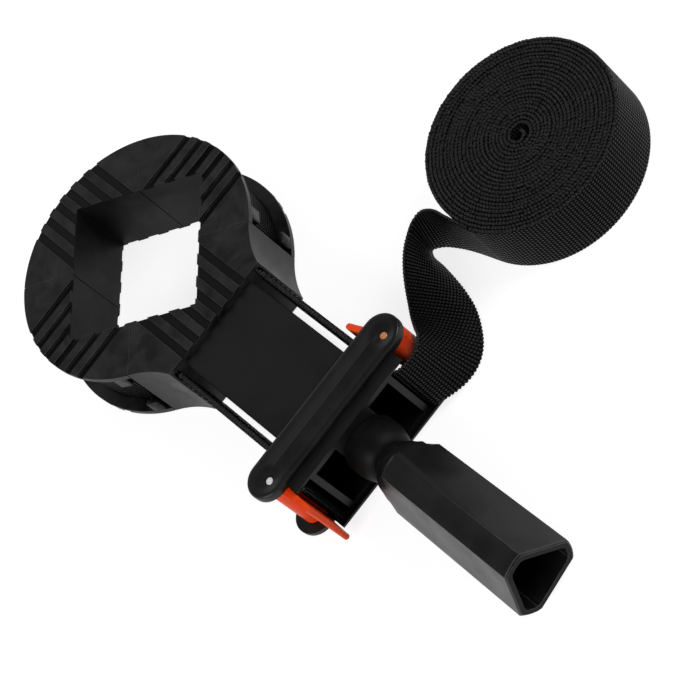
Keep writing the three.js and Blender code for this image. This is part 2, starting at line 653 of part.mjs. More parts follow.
/** The front plate: an obround with a rounded edge, a long ridge and a dish round each pin. */
function plate() {
  const ridgeFoot = AXIS_HEIGHT - PLATE_RIDGE_HEIGHT;
  const halfLength = PIN_Y + PLATE_HALF_WIDTH;
  const rings = [obroundRing(halfLength, PLATE_HALF_WIDTH, EAR_INNER)];
  for (let step = 0; step <= CORNER_STEPS; step += 1) {
    const angle = step / CORNER_STEPS * Math.PI / 2;
    const inset = PLATE_EDGE_ROUND * (1 - Math.cos(angle));
    const z = ridgeFoot - PLATE_EDGE_ROUND * (1 - Math.sin(angle));
    rings.push(obroundRing(halfLength - inset, PLATE_HALF_WIDTH - inset, z));
  }
  const ridge = loft([
    obroundRing(PLATE_RIDGE_HALF_LENGTH, PLATE_RIDGE_HALF_WIDTH, ridgeFoot - PLATE_RIDGE_HEIGHT),
    obroundRing(PLATE_RIDGE_HALF_LENGTH, PLATE_RIDGE_HALF_WIDTH, ridgeFoot),
    obroundRing(PLATE_RIDGE_HALF_LENGTH - PLATE_RIDGE_SLOPE,
      PLATE_RIDGE_HALF_WIDTH - PLATE_RIDGE_SLOPE, AXIS_HEIGHT),
  ]);
  const earRoom = block([-BOX_REAR_X, -EAR_HALF_WIDTH - SEAT_GAP, EAR_INNER - OVERRUN],
    [BOX_REAR_X, EAR_HALF_WIDTH + SEAT_GAP, EAR_OUTER + SEAT_GAP]);
  let body = loft(rings).add(ridge).subtract(earRoom);
  for (const y of [-PIN_Y, PIN_Y]) {
    body = body
      .subtract(rod(PIN_RADIUS + SEAT_GAP, EAR_INNER - OVERRUN, AXIS_HEIGHT + OVERRUN, 0, y))
      .subtract(rod(DISH_RADIUS, ridgeFoot - DISH_DEPTH, AXIS_HEIGHT + OVERRUN, 0, y));
  }
  return body;
}

/** A cam pin, headed at both ends over the plates. */
function camPin() {
  const seat = AXIS_HEIGHT - PLATE_RIDGE_HEIGHT - DISH_DEPTH + SEAT_GAP;
  const top = seat + PIN_HEAD_THICKNESS;
  return turned([[0, -top], [PIN_HEAD_RADIUS, -top], [PIN_HEAD_RADIUS, -seat], [PIN_RADIUS, -seat],
    [PIN_RADIUS, seat], [PIN_HEAD_RADIUS, seat], [PIN_HEAD_RADIUS, top], [0, top]]);
}

// Cam levers

/** The toothed nose, pointing down -Y. */
function noseOutline() {
  const points = [];
  const step = radians(CAM_NOSE_ANGLE / CAM_TOOTH_COUNT);
  const start = -Math.PI / 2 - radians(CAM_NOSE_ANGLE / 2);
  for (let tooth = 0; tooth < CAM_TOOTH_COUNT; tooth += 1) {
    const root = start + tooth * step;
    const tip = root + step * 0.75;
    const lead = Math.max(0, 1 - 2 * tooth / (CAM_TOOTH_COUNT - 1));
    const reach = CAM_REACH - CAM_NOSE_RISE * lead;
    const low = reach - CAM_TOOTH_DEPTH;
    points.push([low * Math.cos(root), low * Math.sin(root)]);
    points.push([reach * Math.cos(tip), reach * Math.sin(tip)]);
  }
  points.push([CAM_HUB_RADIUS, 0], [0, CAM_HUB_RADIUS], [-CAM_HUB_RADIUS, 0]);
  return polygon(points);
}

/** The finger paddle, along +X from the hub, with a round tip. */
function paddleOutline() {
  const tip = PADDLE_THICKNESS / 2;
  const tipX = PADDLE_LENGTH - tip;
  const root = PADDLE_ROOT_THICKNESS / 2;
  const shape = new THREE.Shape();
  shape.moveTo(0, -PADDLE_OFFSET - root);
  shape.quadraticCurveTo(PADDLE_LENGTH / 3, -PADDLE_OFFSET - tip, tipX, -PADDLE_OFFSET - tip);
  shape.absarc(tipX, -PADDLE_OFFSET, tip, -Math.PI / 2, Math.PI / 2);
  shape.quadraticCurveTo(PADDLE_LENGTH / 3, tip - PADDLE_OFFSET, 0, root - PADDLE_OFFSET);
  return shape;
}

/** A cam lever in its closed place: paddle along +X, nose towards the strap at -Y. */
function camLever() {
  const half = CAM_HALF_HEIGHT;
  return rod(CAM_HUB_RADIUS, -half, half)
    .add(prism(noseOutline(), -half, half))
    .add(prism(paddleOutline(), -half, half))
    .subtract(rod(PIN_RADIUS + SEAT_GAP, -half - OVERRUN, half + OVERRUN));
}

// Plunger, spindle and handle

/** The square tube that carries the head jaw and slides in the box. */
function plunger() {
  const innerWidth = PLUNGER_HALF_WIDTH - PLUNGER_WALL;
  const innerDepth = PLUNGER_HALF_DEPTH - PLUNGER_WALL;
  return block([PLUNGER_FRONT_X, -PLUNGER_HALF_WIDTH, -PLUNGER_HALF_DEPTH],
    [PLUNGER_REAR_X, PLUNGER_HALF_WIDTH, PLUNGER_HALF_DEPTH])
    .subtract(block([PLUNGER_FRONT_X + PLUNGER_FRONT_WALL, -innerWidth, -innerDepth],
      [PLUNGER_REAR_X + OVERRUN, innerWidth, innerDepth]))
    .subtract(rod(SCREW_RADIUS + SEAT_GAP, -PLUNGER_HALF_DEPTH - OVERRUN,
      screwTop() + SEAT_GAP, SCREW_X));
}

/** How high the plunger screw reaches. */
function screwTop() {
  return SCREW_LENGTH - CHANNEL_HALF - FLANGE_THICKNESS + GROOVE_DEPTH;
}

/** The screw that holds the plunger in the head jaw, from the rear. */
function plungerScrew() {
  const low = GROOVE_DEPTH + SEAT_GAP - CHANNEL_HALF - FLANGE_THICKNESS;
  return turned([[0, low], [SCREW_HEAD_RADIUS, low],
    [SCREW_HEAD_RADIUS, low + SCREW_HEAD_THICKNESS], [SCREW_RADIUS, low + SCREW_HEAD_THICKNESS],
    [SCREW_RADIUS, screwTop()], [0, screwTop()]], SCREW_X);
}

/** The nut block in the plunger's rear end. */
function plungerNut() {
  const halfWidth = PLUNGER_HALF_WIDTH - PLUNGER_WALL - SEAT_GAP;
  const halfDepth = PLUNGER_HALF_DEPTH - PLUNGER_WALL - SEAT_GAP;
  const front = PLUNGER_REAR_X - NUT_LENGTH;
  return block([front, -halfWidth, -halfDepth], [PLUNGER_REAR_X, halfWidth, halfDepth])
    .subtract(rodAlongX(SPINDLE_BORE, front - OVERRUN, PLUNGER_REAR_X + OVERRUN));
}

/** A flat ring on the spindle. */
function ringOnSpindle(front, thickness, radius) {
  return turnedAlongX([[SPINDLE_BORE, front], [radius, front],
    [radius, front + thickness], [SPINDLE_BORE, front + thickness]]);
}

/** The snap ring that keeps the spindle from leaving the thrust wall. */
function spindleClip() {
  return ringOnSpindle(CLIP_X, CLIP_THICKNESS, CLIP_RADIUS)
    .subtract(block([CLIP_X - OVERRUN, -CLIP_MOUTH / 2, 0],
      [CLIP_X + CLIP_THICKNESS + OVERRUN, CLIP_MOUTH / 2, CLIP_RADIUS + OVERRUN]));
}

/** The domed collar round the spindle behind the housing. */
function spindleBoss() {
  const profile = [[SPINDLE_BORE, BOSS_X], [BOSS_BASE_RADIUS, BOSS_X]];
  for (let step = 0; step <= FLAT_STEPS; step += 1) {
    const angle = step / FLAT_STEPS * Math.PI / 2;
    const radius = BOSS_TOP_RADIUS + (BOSS_BASE_RADIUS - BOSS_TOP_RADIUS) * Math.cos(angle);
    profile.push([radius, BOSS_X + BOSS_HEIGHT * (1 + 2 * Math.sin(angle)) / 3]);
  }
  profile.push([SPINDLE_BORE, BOSS_X + BOSS_HEIGHT]);
  return turnedAlongX(profile);
}

/** A ring of points round the screw axis: a circle cut by the grip's three flats. */
function gripRing(x, radius, flat) {
  const corner = Math.acos(GRIP_FLAT_SHARE);
  const points = [];
  for (let side = 0; side < 3; side += 1) {
    const normal = radians(GRIP_FLAT_ANGLE + side * 120);
    const angles = [];
    for (let step = 0; step < FLAT_STEPS; step += 1) {
      angles.push(corner * (2 * step / FLAT_STEPS - 1));
    }
    const arc = Math.PI * 2 / 3 - 2 * corner;
    for (let step = 0; step < CORNER_STEPS; step += 1) {
      angles.push(corner + arc * step / CORNER_STEPS);
    }
    for (const angle of angles) {
      const away = Math.min(Math.abs(angle), Math.PI * 2 / 3 - Math.abs(angle));
      const reach = Math.min(radius, flat / Math.cos(away));
      points.push(new THREE.Vector3(
        x, reach * Math.cos(normal + angle), reach * Math.sin(normal + angle)));
    }
  }
  return points;
}

/** The corner radius of the grip's body at a place along it. */
function gripRadius(x) {
  const along = (x - SHOULDER_X) / GRIP_LENGTH;
  return SHOULDER_RADIUS + (MOUTH_RADIUS - SHOULDER_RADIUS) * along;
}

/** The handle: round neck, coned shoulder, three-sided hollow grip with an open mouth. */
function handle() {
  const rings = [];
  for (let step = 0; step <= CORNER_STEPS; step += 1) {
    const x = NECK_X + SHOULDER_LENGTH * step / CORNER_STEPS;
    const radius = NECK_RADIUS + (SHOULDER_RADIUS - NECK_RADIUS) * step / CORNER_STEPS;
    rings.push(gripRing(x, radius, GRIP_FLAT_SHARE * gripRadius(x)));
  }
  for (const inset of [MOUTH_CHAMFER, 0]) {
    const x = MOUTH_X - inset;
    const radius = gripRadius(x) - MOUTH_CHAMFER + inset;
    rings.push(gripRing(x, radius, GRIP_FLAT_SHARE * gripRadius(x) - MOUTH_CHAMFER + inset));
  }
  const hollow = [HOLLOW_X, MOUTH_X + OVERRUN].map((x) => gripRing(
    x, gripRadius(x) - GRIP_WALL, GRIP_FLAT_SHARE * gripRadius(x) - GRIP_WALL));
  return loft(rings)
    .subtract(loft(hollow))
    .subtract(rodAlongX(SPINDLE_BORE, NECK_X - OVERRUN, HOLLOW_X + OVERRUN));
}

/** The hexagon nut on the spindle's end, down in the handle's hollow. */
function handleNut() {
  const hexagon = new THREE.CylinderGeometry(
    HANDLE_NUT_RADIUS, HANDLE_NUT_RADIUS, HANDLE_NUT_THICKNESS, 6)
    .rotateZ(Math.PI / 2).translate(HANDLE_NUT_X + HANDLE_NUT_THICKNESS / 2, 0, 0);
  return solid(hexagon)
    .subtract(rodAlongX(SPINDLE_BORE, HANDLE_NUT_X - OVERRUN, SPINDLE_REAR_X + OVERRUN));
}

// Finishes

const jawPlastic = new THREE.MeshStandardMaterial({ color: 0x1f2021, roughness: 0.5, metalness: 0 });
const bodyPlastic = new THREE.MeshStandardMaterial({ color: 0x1b1b1c, roughness: 0.45, metalness: 0 });
const gripPlastic = new THREE.MeshStandardMaterial({ color: 0x202122, roughness: 0.35, metalness: 0 });
const leverPlastic = new THREE.MeshStandardMaterial({ color: 0xf2481c, roughness: 0.4, metalness: 0 });
const webbing = new THREE.MeshStandardMaterial({ color: 0x141415, roughness: 0.85, metalness: 0 });
const steel = new THREE.MeshStandardMaterial({ color: 0xb9b7b2, roughness: 0.3, metalness: 1 });

// Assembly: everything but the loose strap is drawn about the screw axis

const clamp = new THREE.Group();
const tool = new THREE.Group();
tool.position.z = AXIS_HEIGHT;
clamp.add(tool);

tool.add(part("housing_body", housingBody(), bodyPlastic));
tool.add(part("front_plate", plate(), bodyPlastic));
const rearPlate = part("rear_plate", plate(), bodyPlastic);
rearPlate.rotation.x = Math.PI;
tool.add(rearPlate);
tool.add(part("spindle_boss", spindleBoss(), bodyPlastic));

for (const [side, sign] of [["left", 1], ["right", -1]]) {
  const pin = part(`cam_pin_${side}`, camPin(), steel);
  pin.position.y = sign * PIN_Y;
  const cam = part(`cam_${side}`, camLever(), leverPlastic);
  cam.position.y = sign * PIN_Y;
  if (sign > 0) cam.rotation.z = radians(LEFT_CAM_ANGLE);
  else cam.rotation.x = Math.PI;
  tool.add(pin, cam);
}

tool.add(part("plunger", plunger(), bodyPlastic));
tool.add(part("plunger_nut", plungerNut(), steel));
tool.add(part("plunger_screw", plungerScrew(), steel));
tool.add(part("spindle", rodAlongX(SPINDLE_RADIUS, SPINDLE_FRONT_X, SPINDLE_REAR_X), steel));
tool.add(part("thrust_washer", ringOnSpindle(WASHER_X, WASHER_THICKNESS, WASHER_RADIUS), steel));
tool.add(part("spindle_clip", spindleClip(), steel));
tool.add(part("handle", handle(), gripPlastic));
tool.add(part("handle_nut", handleNut(), steel));

const ring = new THREE.Group();
ring.position.x = RING_X;
tool.add(ring);
ring.add(part("head_jaw", headJaw(), jawPlastic));
ring.add(part("strap_head_left", wingBand(), webbing));
const rightWingBand = part("strap_head_right", wingBand(), webbing);
rightWingBand.rotation.x = Math.PI;
ring.add(rightWingBand);
for (const [side, degrees] of [["left", 90], ["far", 180], ["right", 270]]) {
  const corner = new THREE.Group();
  corner.rotation.z = radians(degrees);
  corner.add(part(`${side}_jaw`, cornerJaw(), jawPlastic));
  corner.add(part(`strap_arc_${side}`, jawBand(), webbing));
  ring.add(corner);
}

tool.add(part("strap_run_left", runBand(EXIT_X - SEAT_GAP, false), webbing));
const rightRun = part("strap_run_right", runBand(TAIL_BEND_X, true), webbing);
rightRun.rotation.x = Math.PI;
tool.add(rightRun);

const spiral = rollPoints();
console.log(`least gap between turns of the roll ${leastRollGap(spiral).toFixed(3)} mm`);
clamp.add(part("strap_free", looseBand(), webbing));
clamp.add(part("strap_roll", band(spiral, 0, STRAP_WIDTH), webbing));

export default clamp;
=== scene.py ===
"""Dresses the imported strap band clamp: webbing, moulded plastics, cam levers, pins and studio.

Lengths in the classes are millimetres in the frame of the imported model, with +Z up from the
bench and +X along the screw towards the handle. Meshes are written in metres.
"""

import json
import logging
import math
from dataclasses import dataclass, field
from enum import Enum
from typing import Any

import bmesh
import bpy
import numpy as np
from mathutils import Matrix, Vector


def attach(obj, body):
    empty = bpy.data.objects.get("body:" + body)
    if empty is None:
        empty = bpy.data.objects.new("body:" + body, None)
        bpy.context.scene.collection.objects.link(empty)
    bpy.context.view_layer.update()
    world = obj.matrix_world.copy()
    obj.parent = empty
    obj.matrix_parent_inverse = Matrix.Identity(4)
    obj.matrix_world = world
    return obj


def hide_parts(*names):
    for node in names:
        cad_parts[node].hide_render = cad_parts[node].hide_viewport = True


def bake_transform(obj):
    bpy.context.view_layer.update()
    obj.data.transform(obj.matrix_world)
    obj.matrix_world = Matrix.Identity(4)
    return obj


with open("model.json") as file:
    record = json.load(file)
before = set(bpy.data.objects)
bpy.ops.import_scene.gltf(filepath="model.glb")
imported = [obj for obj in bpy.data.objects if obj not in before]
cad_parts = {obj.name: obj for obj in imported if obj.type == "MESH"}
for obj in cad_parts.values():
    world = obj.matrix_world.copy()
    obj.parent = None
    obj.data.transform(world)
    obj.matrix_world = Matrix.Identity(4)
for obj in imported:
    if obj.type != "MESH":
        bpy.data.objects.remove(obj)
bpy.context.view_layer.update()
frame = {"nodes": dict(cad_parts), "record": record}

MM = 0.001
LOG = logging.getLogger("band_clamp")

# Places that the sub-assemblies share: the screw's height, the ring's middle and the pins.
AXIS_HEIGHT = 15.75
RING_X = -114.0085
PIN_Y = 30.0


# Shared helpers


def linear(hex_colour: str) -> tuple[float, float, float, float]:
    """Turns an sRGB hex colour into linear RGBA.

    Args:
        hex_colour: Six hex digits, with or without a leading hash.

    Returns:
        Linear red, green, blue and an alpha of 1.
    """
    digits = hex_colour.lstrip("#")
    channels = [int(digits[at:at + 2], 16) / 255 for at in (0, 2, 4)]
    return tuple(c / 12.92 if c <= 0.04045 else ((c + 0.055) / 1.055) ** 2.4
                 for c in channels) + (1.0,)


def add_node(tree: bpy.types.NodeTree, kind: str, settings: dict[str, Any] | None = None,
             inputs: dict[Any, Any] | None = None) -> bpy.types.Node:
    """Adds a node with its settings, input values and links.

    Args:
        tree: The node tree that gets the node.
        kind: The node's type name.
        settings: Attribute names and values.
        inputs: Input names or indices, each with a value or with a socket to link.

    Returns:
        The new node.
    """
    node = tree.nodes.new(kind)
    for name, value in (settings or {}).items():
        setattr(node, name, value)
    for name, value in (inputs or {}).items():
        if isinstance(value, bpy.types.NodeSocket):
            tree.links.new(value, node.inputs[name])
        else:
            node.inputs[name].default_value = value
    return node


def new_tree(name: str) -> tuple[bpy.types.Material, bpy.types.NodeTree]:
    """Makes a material with an empty node tree.

    Args:
        name: The finish that the material is named for.

    Returns:
        The material and its tree.
    """
    material = bpy.data.materials.new(name)
    material.use_nodes = True
    material.node_tree.nodes.clear()
    return material, material.node_tree


def link_object(name: str, data: bpy.types.ID) -> bpy.types.Object:
    """Puts an object in the scene.

    Args:
        name: The object's name.
        data: Its mesh, camera or light.

    Returns:
        The linked object.
    """
    made = bpy.data.objects.new(name, data)
    bpy.context.scene.collection.objects.link(made)
    return made


def shade_smooth(mesh: bpy.types.Mesh) -> None:
    """Shades every face of a mesh smooth."""
    mesh.polygons.foreach_set("use_smooth", np.ones(len(mesh.polygons), dtype=bool))


def mesh_object(name: str, vertices: np.ndarray, faces: list[tuple[int, ...]],
                material: bpy.types.Material) -> bpy.types.Object:
    """Makes a smooth-shaded mesh object at the origin from points in millimetres.

    Args:
        name: The piece's name.
        vertices: Points in millimetres, one row each.
        faces: Point indices of each face, seen from outside anticlockwise.
        material: The piece's finish.

    Returns:
        The linked object.
    """
    mesh = bpy.data.meshes.new(name)
    mesh.from_pydata((np.asarray(vertices) * MM).tolist(), [], faces)
    mesh.materials.append(material)
    shade_smooth(mesh)
    mesh.update()
    return link_object(name, mesh)


def band_faces(rings: int, count: int) -> list[tuple[int, ...]]:
    """Lists the four-sided faces between closed rings of points that follow each other.

    Args:
        rings: How many rings there are.
        count: How many points each ring has.

    Returns:
        Point indices of each face, ring by ring.
    """
    return [(ring * count + at, ring * count + (at + 1) % count,
             (ring + 1) * count + (at + 1) % count, (ring + 1) * count + at)
            for ring in range(rings - 1) for at in range(count)]


def write_shell(shell: bmesh.types.BMesh, piece: bpy.types.Object,
                sharp_degrees: float) -> None:
    """Turns a closed shell's faces outwards and writes it to its piece, with creases marked.

    Args:
        shell: The shell, which is freed.
        piece: The piece, whose mesh is changed.
        sharp_degrees: The angle between two faces past which their edge is a crease.
    """
    bmesh.ops.recalc_face_normals(shell, faces=shell.faces)
    shell.to_mesh(piece.data)
    shell.free()
    shade_smooth(piece.data)
    piece.data.set_sharp_from_angle(angle=math.radians(sharp_degrees))


def bake(piece: bpy.types.Object) -> bpy.types.Mesh:
    """Makes a plain mesh of what a piece's modifiers show, and removes the modifiers.

    Args:
        piece: The piece with its modifiers.

    Returns:
        The plain mesh.
    """
    baked = bpy.data.meshes.new_from_object(
        piece.evaluated_get(bpy.context.evaluated_depsgraph_get()))
    piece.modifiers.clear()
    return baked


def unit(vectors: np.ndarray) -> np.ndarray:
    """Scales each row of an array to length one."""
    return vectors / np.linalg.norm(vectors, axis=-1, keepdims=True)


def eased(share: Any) -> Any:
    """Eases a share from 0 to 1, or an array of them, so that it starts and ends level."""
    return share * share * (3 - 2 * share)


# Finishes


class Polish(Enum):
    """How the mould's wall was finished, and how far that lets the roughness vary."""

    GRAINED = 0.10
    SATIN = 0.07
    POLISHED = 0.05


@dataclass(frozen=True)
class MouldedPlastic:
    """An injection-moulded plastic, grained, satin or polished by its mould.

    To the eye: the grain breaks up each reflection, the flow of the melt leaves faint cloudy
    patches in tone and sheen, and every edge catches a thin soft light; where an edge
    highlight colour is given, a pale highlight is also painted into the colour along every
    edge. The real grain is about 0.1 mm; it is drawn at 0.35 mm,
    because a finer one would be lost at this picture's size.
    """

    name: str
    colour: str
    flow_colour: str
    polish: Polish
    roughness: float
    grain_mm: float = 0.35
    grain_depth_mm: float = 0.012
    flow_mm: float = 14.0
    edge_mm: float = 0.3
    ior: float = 1.5
    specular: float = 0.5
    subsurface: float = 0.0
    subsurface_mm: float = 0.8
    # A pale colour painted along every edge as a highlight; none where it is empty.
    edge_highlight_colour: str = ""
    # Levels of the flow's noise between which a patch's colour, and then its sheen, change.
    patch_band: tuple[float, float] = (0.36, 0.66)
    sheen_band: tuple[float, float] = (0.3, 0.7)
    # Cosines between the rounded and the flat normal where the painted edge highlight begins and
    # is full.
    edge_highlight_band: tuple[float, float] = (0.997, 0.92)

    def paint_edge_highlights(self, tree: bpy.types.NodeTree, tint: bpy.types.NodeSocket,
                  edge: bpy.types.NodeSocket) -> bpy.types.NodeSocket:
        """Paints a pale highlight into the colour where the rounded normal leaves the face's own,
        at an edge.

        Args:
            tree: The material's tree.
            tint: The colour away from the edges.
            edge: The rounded normal.

        Returns:
            The colour with its painted edge highlights.
        """
        own = add_node(tree, "ShaderNodeNewGeometry").outputs["Normal"]
        match = add_node(tree, "ShaderNodeVectorMath", {"operation": "DOT_PRODUCT"},
                         {0: edge, 1: own}).outputs["Value"]
        painted_highlight = add_node(tree, "ShaderNodeMapRange", inputs={
            "Value": match, 1: self.edge_highlight_band[0], 2: self.edge_highlight_band[1], 3: 0.0, 4: 1.0})
        return add_node(tree, "ShaderNodeMix", {"data_type": "RGBA"}, {
            0: painted_highlight.outputs[0], 6: tint, 7: linear(self.edge_highlight_colour)}).outputs[2]

    def build(self) -> bpy.types.Material:
        """Builds the material.

        Returns:
            The finished material.
        """
        material, tree = new_tree(self.name)
        place = add_node(tree, "ShaderNodeTexCoord").outputs["Object"]
        grain = add_node(tree, "ShaderNodeTexNoise", inputs={
            "Vector": place, "Scale": 1 / (self.grain_mm * MM), "Detail": 2.0})
        flow = add_node(tree, "ShaderNodeTexNoise", inputs={
            "Vector": place, "Scale": 1 / (self.flow_mm * MM), "Detail": 3.0,
            "Roughness": 0.55, "Distortion": 0.6})
        patches = add_node(tree, "ShaderNodeMapRange", inputs={
            "Value": flow.outputs["Fac"], 1: self.patch_band[0], 2: self.patch_band[1]})
        tint = add_node(tree, "ShaderNodeMix", {"data_type": "RGBA"}, {
            0: patches.outputs[0], 6: linear(self.colour), 7: linear(self.flow_colour)})
        rough = add_node(tree, "ShaderNodeMapRange", inputs={
            "Value": flow.outputs["Fac"], 1: self.sheen_band[0], 2: self.sheen_band[1],
            3: self.roughness - self.polish.value, 4: self.roughness + self.polish.value})
        edge = add_node(tree, "ShaderNodeBevel", {"samples": 4}, {"Radius": self.edge_mm * MM})
        bump = add_node(tree, "ShaderNodeBump", inputs={
            "Strength": 1.0, "Distance": self.grain_depth_mm * MM,
            "Height": grain.outputs["Fac"], "Normal": edge.outputs["Normal"]})
        colour = tint.outputs[2]
        # Painted highlight: a pale colour along every edge, where one is given.
        if self.edge_highlight_colour:
            colour = self.paint_edge_highlights(tree, colour, edge.outputs["Normal"])
        shader = add_node(tree, "ShaderNodeBsdfPrincipled", inputs={
            "Base Color": colour, "Roughness": rough.outputs[0],
            "Normal": bump.outputs["Normal"], "IOR": self.ior,
            "Specular IOR Level": self.specular, "Subsurface Weight": self.subsurface,
            "Subsurface Scale": self.subsurface_mm * MM})
        add_node(tree, "ShaderNodeOutputMaterial", inputs={"Surface": shader.outputs[0]})
        return material


@dataclass(frozen=True)
class PlatedSteel:
    """Steel with a thin plated coat.

    To the eye: a small bright spot against the black plastic, faintly clouded by the bath and
    softer than bare steel. The dulled coat of a pin's head scatters light, so a pin is made
    only partly metallic.
    """

    name: str
    colour: str
    mottle_colour: str
    roughness: float
    mottle_mm: float = 0.8
    edge_mm: float = 0.15
    metallic: float = 1.0

    def build(self) -> bpy.types.Material:
        """Builds the material.

        Returns:
            The finished material.
        """
        material, tree = new_tree(self.name)
        place = add_node(tree, "ShaderNodeTexCoord").outputs["Object"]
        mottle = add_node(tree, "ShaderNodeTexNoise", inputs={
            "Vector": place, "Scale": 1 / (self.mottle_mm * MM), "Detail": 3.0})
        tint = add_node(tree, "ShaderNodeMix", {"data_type": "RGBA"}, {
            0: mottle.outputs["Fac"], 6: linear(self.colour), 7: linear(self.mottle_colour)})
        edge = add_node(tree, "ShaderNodeBevel", {"samples": 4}, {"Radius": self.edge_mm * MM})
        shader = add_node(tree, "ShaderNodeBsdfPrincipled", inputs={
            "Base Color": tint.outputs[2], "Metallic": self.metallic,
            "Roughness": self.roughness, "Normal": edge.outputs["Normal"]})
        add_node(tree, "ShaderNodeOutputMaterial", inputs={"Surface": shader.outputs[0]})
        return material


@dataclass(frozen=True)
class WovenWebbing:
    """Black woven polyester webbing.

    To the eye: rows of small pillows, each row shifted by half a pillow, which glint one by
    one where they face the light, over gaps painted black as shade, with no reflection. The
    pillows are measured on the photograph, and the yarn's own fibres, which are far finer,
    are drawn 0.35 mm wide.
    """

    name: str
    top_colour: str = "#0f0f10"
    # Painted shade: the colour of the gaps between the pillows.
    gap_shade_colour: str = "#060606"
    pick_mm: float = 1.35
    warp_mm: float = 1.3
    row_fullness: float = 2.0
    pillow_fullness: float = 1.4
    pillow_share: float = 0.8
    fibre_mm: float = 0.35
    fibre_share: float = 0.25
    relief_mm: float = 0.5
    roughness: float = 0.33
    specular: float = 0.2
    shade_from: float = 0.1
    shade_to: float = 0.85

    def build(self) -> bpy.types.Material:
        """Builds the material, whose pattern follows the strap's own UV map in millimetres.

        Returns:
            The finished material.
        """
        material, tree = new_tree(self.name)

        def maths(operation: str, a: Any, b: Any = 0.0) -> bpy.types.NodeSocket:
            """One arithmetic step on two values or sockets."""
            return add_node(tree, "ShaderNodeMath", {"operation": operation},
                            {0: a, 1: b}).outputs[0]

        def pillow(cell: bpy.types.NodeSocket, fullness: float) -> bpy.types.NodeSocket:
            """A rounded hump over each unit of a coordinate, wider where it is fuller."""
            centred = maths("SUBTRACT", maths("MULTIPLY", maths("FRACT", cell), 2.0), 1.0)
            return maths("SUBTRACT", 1.0, maths("POWER", maths("ABSOLUTE", centred), fullness))

        plan = add_node(tree, "ShaderNodeUVMap", {"uv_map": "strap"})
        split = add_node(tree, "ShaderNodeSeparateXYZ", inputs={0: plan.outputs[0]})
        along = maths("DIVIDE", split.outputs[0], self.pick_mm)
        half_shift = maths("MULTIPLY", maths("FLOOR", along), 0.5)
        across = maths("ADD", maths("DIVIDE", split.outputs[1], self.warp_mm), half_shift)
        pillows = maths("MULTIPLY", pillow(across, self.pillow_fullness), self.pillow_share)
        height = maths("MULTIPLY", pillow(along, self.row_fullness),
                       maths("ADD", pillows, 1 - self.pillow_share))
        place = add_node(tree, "ShaderNodeTexCoord").outputs["Object"]
        fibre = add_node(tree, "ShaderNodeTexNoise", inputs={
            "Vector": place, "Scale": 1 / (self.fibre_mm * MM), "Detail": 2.0})
        relief = maths("ADD", height, maths("MULTIPLY", fibre.outputs["Fac"], self.fibre_share))
        bump = add_node(tree, "ShaderNodeBump", inputs={
            "Strength": 1.0, "Distance": self.relief_mm * MM, "Height": relief})
        standing = add_node(tree, "ShaderNodeMapRange", {"interpolation_type": "SMOOTHSTEP"}, {
            "Value": height, 1: self.shade_from, 2: self.shade_to})
        yarn = add_node(tree, "ShaderNodeBsdfPrincipled", inputs={
            "Base Color": linear(self.top_colour), "Roughness": self.roughness,
            "Normal": bump.outputs["Normal"], "Specular IOR Level": self.specular})
        # Painted shade: low in the weave, between the pillows, a black diffuse copy with no
        # reflection is mixed in.
        gap_shade = add_node(tree, "ShaderNodeBsdfDiffuse", inputs={
            "Color": linear(self.gap_shade_colour)})
        whole = add_node(tree, "ShaderNodeMixShader", inputs={
            0: standing.outputs[0], 1: gap_shade.outputs[0], 2: yarn.outputs[0]})
        add_node(tree, "ShaderNodeOutputMaterial", inputs={"Surface": whole.outputs[0]})
        return material


@dataclass(frozen=True)
class YarnLoop:
    """The black filament yarn that turns round at the webbing's edge.

    To the eye: a bumpy cord that sparkles along its strands and is black between them. The
    sparkle is partly the bump's real reflection and partly a painted glint, a lighter colour on
    each strand's top, and the black between the strands is painted shade. The real strands are
    about 0.1 mm wide; they are drawn at 0.45 mm, so that the sparkle still shows at this
    picture's size.
    """

    name: str
    strand_glint_colour: str = "#242425"
    strand_shade_colour: str = "#030303"
    strand_mm: float = 0.45
    strand_band: tuple[float, float] = (0.4, 0.64)
    relief_mm: float = 0.16
    roughness: float = 0.46
    specular: float = 0.42

    def build(self) -> bpy.types.Material:
        """Builds the material.

        Returns:
            The finished material.
        """
        material, tree = new_tree(self.name)
        place = add_node(tree, "ShaderNodeTexCoord").outputs["Object"]
        strand = add_node(tree, "ShaderNodeTexNoise", inputs={
            "Vector": place, "Scale": 1 / (self.strand_mm * MM), "Detail": 2.0})
        ridge = add_node(tree, "ShaderNodeMapRange", inputs={
            "Value": strand.outputs["Fac"], 1: self.strand_band[0], 2: self.strand_band[1]})
        # Painted glint on the strands' tops and painted shade between them, following the bump.
        tint = add_node(tree, "ShaderNodeMix", {"data_type": "RGBA"}, {
            0: ridge.outputs[0], 6: linear(self.strand_shade_colour), 7: linear(self.strand_glint_colour)})
        bump = add_node(tree, "ShaderNodeBump", inputs={
            "Strength": 1.0, "Distance": self.relief_mm * MM, "Height": ridge.outputs[0]})
        shader = add_node(tree, "ShaderNodeBsdfPrincipled", inputs={
            "Base Color": tint.outputs[2], "Roughness": self.roughness,
            "Normal": bump.outputs["Normal"], "Specular IOR Level": self.specular})
        add_node(tree, "ShaderNodeOutputMaterial", inputs={"Surface": shader.outputs[0]})
        return material


# Sub-assemblies


